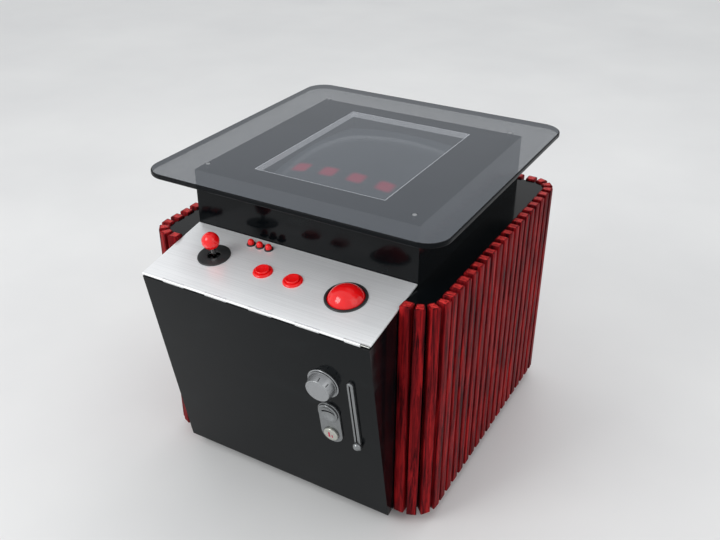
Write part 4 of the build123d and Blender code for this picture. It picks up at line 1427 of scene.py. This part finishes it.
    def build_slide(self) -> None:
        """Builds the slotted guide and the ball that runs in it."""
        long, wide = self.guide_half, self.guide_wide
        outer = [(0.0, 0.0), (0.0, 4.2), (0.25, 5.1), (0.9, 5.75), (1.8, 6.0)]
        stations = [Station(wide - inset, long - inset, wide - inset, rise) for inset, rise in outer]
        stations += [Station(1.5, long - 5.0, 1.4, 6.0), Station(1.5, long - 5.0, 1.4, 4.0),
                     Station(4.0, long - 4.8, 1.6, 4.0), Station(4.0, long - 4.8, 1.6, 0.0)]
        mesh = bmesh.new()
        stack(mesh, stations, self.housing.door_seat(*self.guide), True)
        guide = piece_of("slotted_slide_guide", mesh, [self.cast])
        adopt(guide, "door", "zinc_casting", "coin_slide_guide")
        seat = self.housing.door_seat(self.guide[0], self.slide_drop)
        mesh = bmesh.new()
        r, out = self.slide_radius, self.slide_out
        ball = [(0.0, out - r)] + arc(r, -88.0, 88.0, 44, (0.0, out)) + [(0.0, out + r)]
        sweep_profile(mesh, ball, False, 72, seat)
        knob = piece_of("coin_slide_ball", mesh, [self.cast])
        tool = bmesh.new()
        add_bar(tool, seat @ Matrix.Translation(Vector((0.0, 0.0, -4.35)) * MM), (13.6, 40.0, 21.4))
        cut_away(knob, tool)
        adopt(knob, "coin_slide", "chrome", "coin_slide_knob")
        mesh = bmesh.new()
        sweep_profile(mesh, [(0.0, 2.6), (1.3, 2.6), (1.3, 7.4), (0.0, 7.4)], False, 32, seat)
        add_bar(mesh, seat @ Matrix.Translation(Vector((0.0, 0.0, 2.1)) * MM), (7.4, 12.0, 3.2))
        adopt(piece_of("coin_slide_shoe", mesh, [self.cast]), "coin_slide", "chrome", "coin_slide_knob")

    def build(self) -> None:
        """Builds everything on the door."""
        self.build_lock()
        self.build_coin_entry()
        self.build_slide()


@dataclass
class Workshop:
    """Finishes for the nodes whose own shape is kept."""

    frame: dict
    pillar: float = 12.0 * MM
    sheet: float = 1.8 * MM
    # painted glow: the white window bead gives off light of its own so that it shows through the dark glass
    trim_painted_glow: float = 0.8

    def finishes(self) -> dict[str, Material]:
        """One finish for each of the record's material slots.

        Returns:
            The materials by slot.
        """
        chrome = Metal("polished_chrome", (0.80, 0.80, 0.79), 0.05, 0.13, depth=0.000008)
        plate = Metal("brushed_plate_steel", (0.92, 0.93, 0.94), 0.30, 0.40, brushing=(3.0, 700.0, 700.0),
                      fine=1.0, depth=0.000004, anisotropy=0.3, metallic=0.42)
        kinds = {
            "black_laminate": BlackLaminate("black_laminate_polished"),
            "brushed_plate": plate,
            "chrome": chrome,
            "zinc_casting": Metal("zinc_cast_satin", (0.42, 0.42, 0.41), 0.32, 0.5, fine=5.0,
                                  depth=0.0001),
            "zinc_steel": Metal("zinc_plated_steel", (0.55, 0.56, 0.53), 0.22, 0.4,
                                brushing=(90.0, 14.0, 90.0)),
            "black_plastic": Moulding("black_moulding", (0.015, 0.016, 0.017), 0.4),
            "red_gloss": Moulding("red_moulding", (0.78, 0.005, 0.007), 0.14, coat=0.5),
            "white_trim": Moulding("white_trim_lacquer", (0.82, 0.84, 0.88), 0.3),
            "black_steel": Moulding("black_powder_coat", (0.018, 0.018, 0.019), 0.48, texture=1500.0,
                                    depth=0.00012),
            "copper_winding": Winding("enamelled_winding"),
        }
        return {slot: kind.make() for slot, kind in kinds.items()}

    def special(self, finishes: dict[str, Material]) -> dict[str, Material]:
        """Finishes that one node has apart from its slot.

        Args:
            finishes: the materials by slot.

        Returns:
            The materials by node.
        """
        _, monitor_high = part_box("monitor_board")
        game_low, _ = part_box("game_board")
        stand = self.pillar + self.sheet
        bolt = Metal("dull_bolt_steel", (0.30, 0.31, 0.32), 0.3, 0.45, depth=0.00003)
        # the white bead glows as painted light, though it is no lamp
        bead = Moulding("window_bead_white_glowing", (0.82, 0.84, 0.88), 0.3, glow=self.trim_painted_glow)
        monitor = CircuitBoard("monitor_board_lacquer", monitor_high[0] - stand, -1.0)
        game = CircuitBoard("game_board_lacquer", game_low[0] + stand, 1.0)
        return {
            "glass_bolts": bolt.make(),
            "window_trim": bead.make(),
            "monitor_board": monitor.make(),
            "game_board": game.make(),
            "hinge_leaves_fixed": finishes["brushed_plate"],
        }

    def dress(self) -> None:
        """Gives every node its finish. A slot without one belongs to nodes that new pieces replace."""
        finishes = self.finishes()
        special = self.special(finishes)
        spare = finishes["black_plastic"]
        for entry in self.frame["record"]["subparts"]:
            node = entry["node"]
            material = special.get(node, finishes.get(entry["material_slot"], spare))
            for slot in self.frame["nodes"][node].material_slots:
                slot.material = material
            log.info("%s is finished in %s", node, material.name)


@dataclass
class Studio:
    """A pale floor, soft lights and the camera."""

    floor_reach: float = 9.0
    floor_low: Colour = (0.70, 0.70, 0.70)
    floor_high: Colour = (0.76, 0.76, 0.755)
    camera_at: Triple = (0.8096, -1.3764, 1.3024)
    camera_turn: tuple[float, float] = (59.99, 29.91)
    lens: float = 42.17
    sensor: float = 36.0
    sky: Colour = (0.97, 0.985, 1.0)
    sky_strength: float = 0.84

    def build_floor(self) -> None:
        """Lays the pale floor."""
        recipe = Recipe("pale_studio_floor")
        cloud = recipe.noise(recipe.place, 1.5, 4.0, 0.5)
        tone = recipe.ramp(cloud, [(0.3, self.floor_low), (0.7, self.floor_high)])
        recipe.shade(Base_Color=tone, Roughness=0.55)
        mesh = bmesh.new()
        bmesh.ops.create_grid(mesh, x_segments=8, y_segments=8, size=self.floor_reach)
        piece_of("studio_floor", mesh, [recipe.material])

    def add_light(self, name: str, spot: Triple, target: Triple, size: float, power: float) -> None:
        """Hangs one soft square light.

        Args:
            name: its name.
            spot: where it hangs.
            target: what it points at.
            size: its width.
            power: its power in watts.
        """
        lamp = bpy.data.lights.new(name, "AREA")
        lamp.size = size
        lamp.energy = power
        light = bpy.data.objects.new(name, lamp)
        light.location = spot
        light.rotation_euler = (Vector(target) - Vector(spot)).to_track_quat("-Z", "Y").to_euler()
        bpy.context.scene.collection.objects.link(light)

    def build_lights(self) -> None:
        """Sets the sky and three soft lights."""
        world = bpy.data.worlds.new("studio_sky")
        world.use_nodes = True
        sky = world.node_tree.nodes["Background"]
        sky.inputs["Color"].default_value = (*self.sky, 1.0)
        sky.inputs["Strength"].default_value = self.sky_strength
        bpy.context.scene.world = world
        self.add_light("key", (-1.5, -2.6, 2.4), (0.0, -0.2, 0.4), size=1.6, power=44.0)
        self.add_light("side", (2.6, -0.6, 2.2), (0.2, 0.0, 0.3), size=1.8, power=6.0)
        self.add_light("overhead", (0.2, 1.4, 3.0), (0.0, 0.0, 0.5), size=2.0, power=16.0)

    def build_camera(self) -> None:
        """Sets up the camera."""
        data = bpy.data.cameras.new("front_corner")
        data.lens = self.lens
        data.sensor_width = self.sensor
        camera = bpy.data.objects.new("front_corner", data)
        camera.location = self.camera_at
        tilt, turn = self.camera_turn
        camera.rotation_euler = Euler((math.radians(tilt), 0.0, math.radians(turn)))
        bpy.context.scene.collection.objects.link(camera)
        bpy.context.scene.camera = camera
        bpy.context.scene.view_settings.view_transform = "Standard"

    def build(self) -> None:
        """Builds the studio."""
        self.build_camera()
        self.build_floor()
        self.build_lights()


def main() -> None:
    """Builds the cabinet's looks, one sub-assembly after another."""
    logging.basicConfig(level=logging.INFO, format="%(message)s")
    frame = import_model()
    joints = {joint["name"]: joint for joint in frame["record"]["behaviour"]["joints"]}
    housing = HousingFrame(joints)
    Studio().build()
    Workshop(frame).dress()
    SlatRows().build()
    TableTop().build()
    PictureTube().build()
    ControlPanel(housing).build()
    CoinDoor(housing).build()


if __name__ == "__main__":
    main()
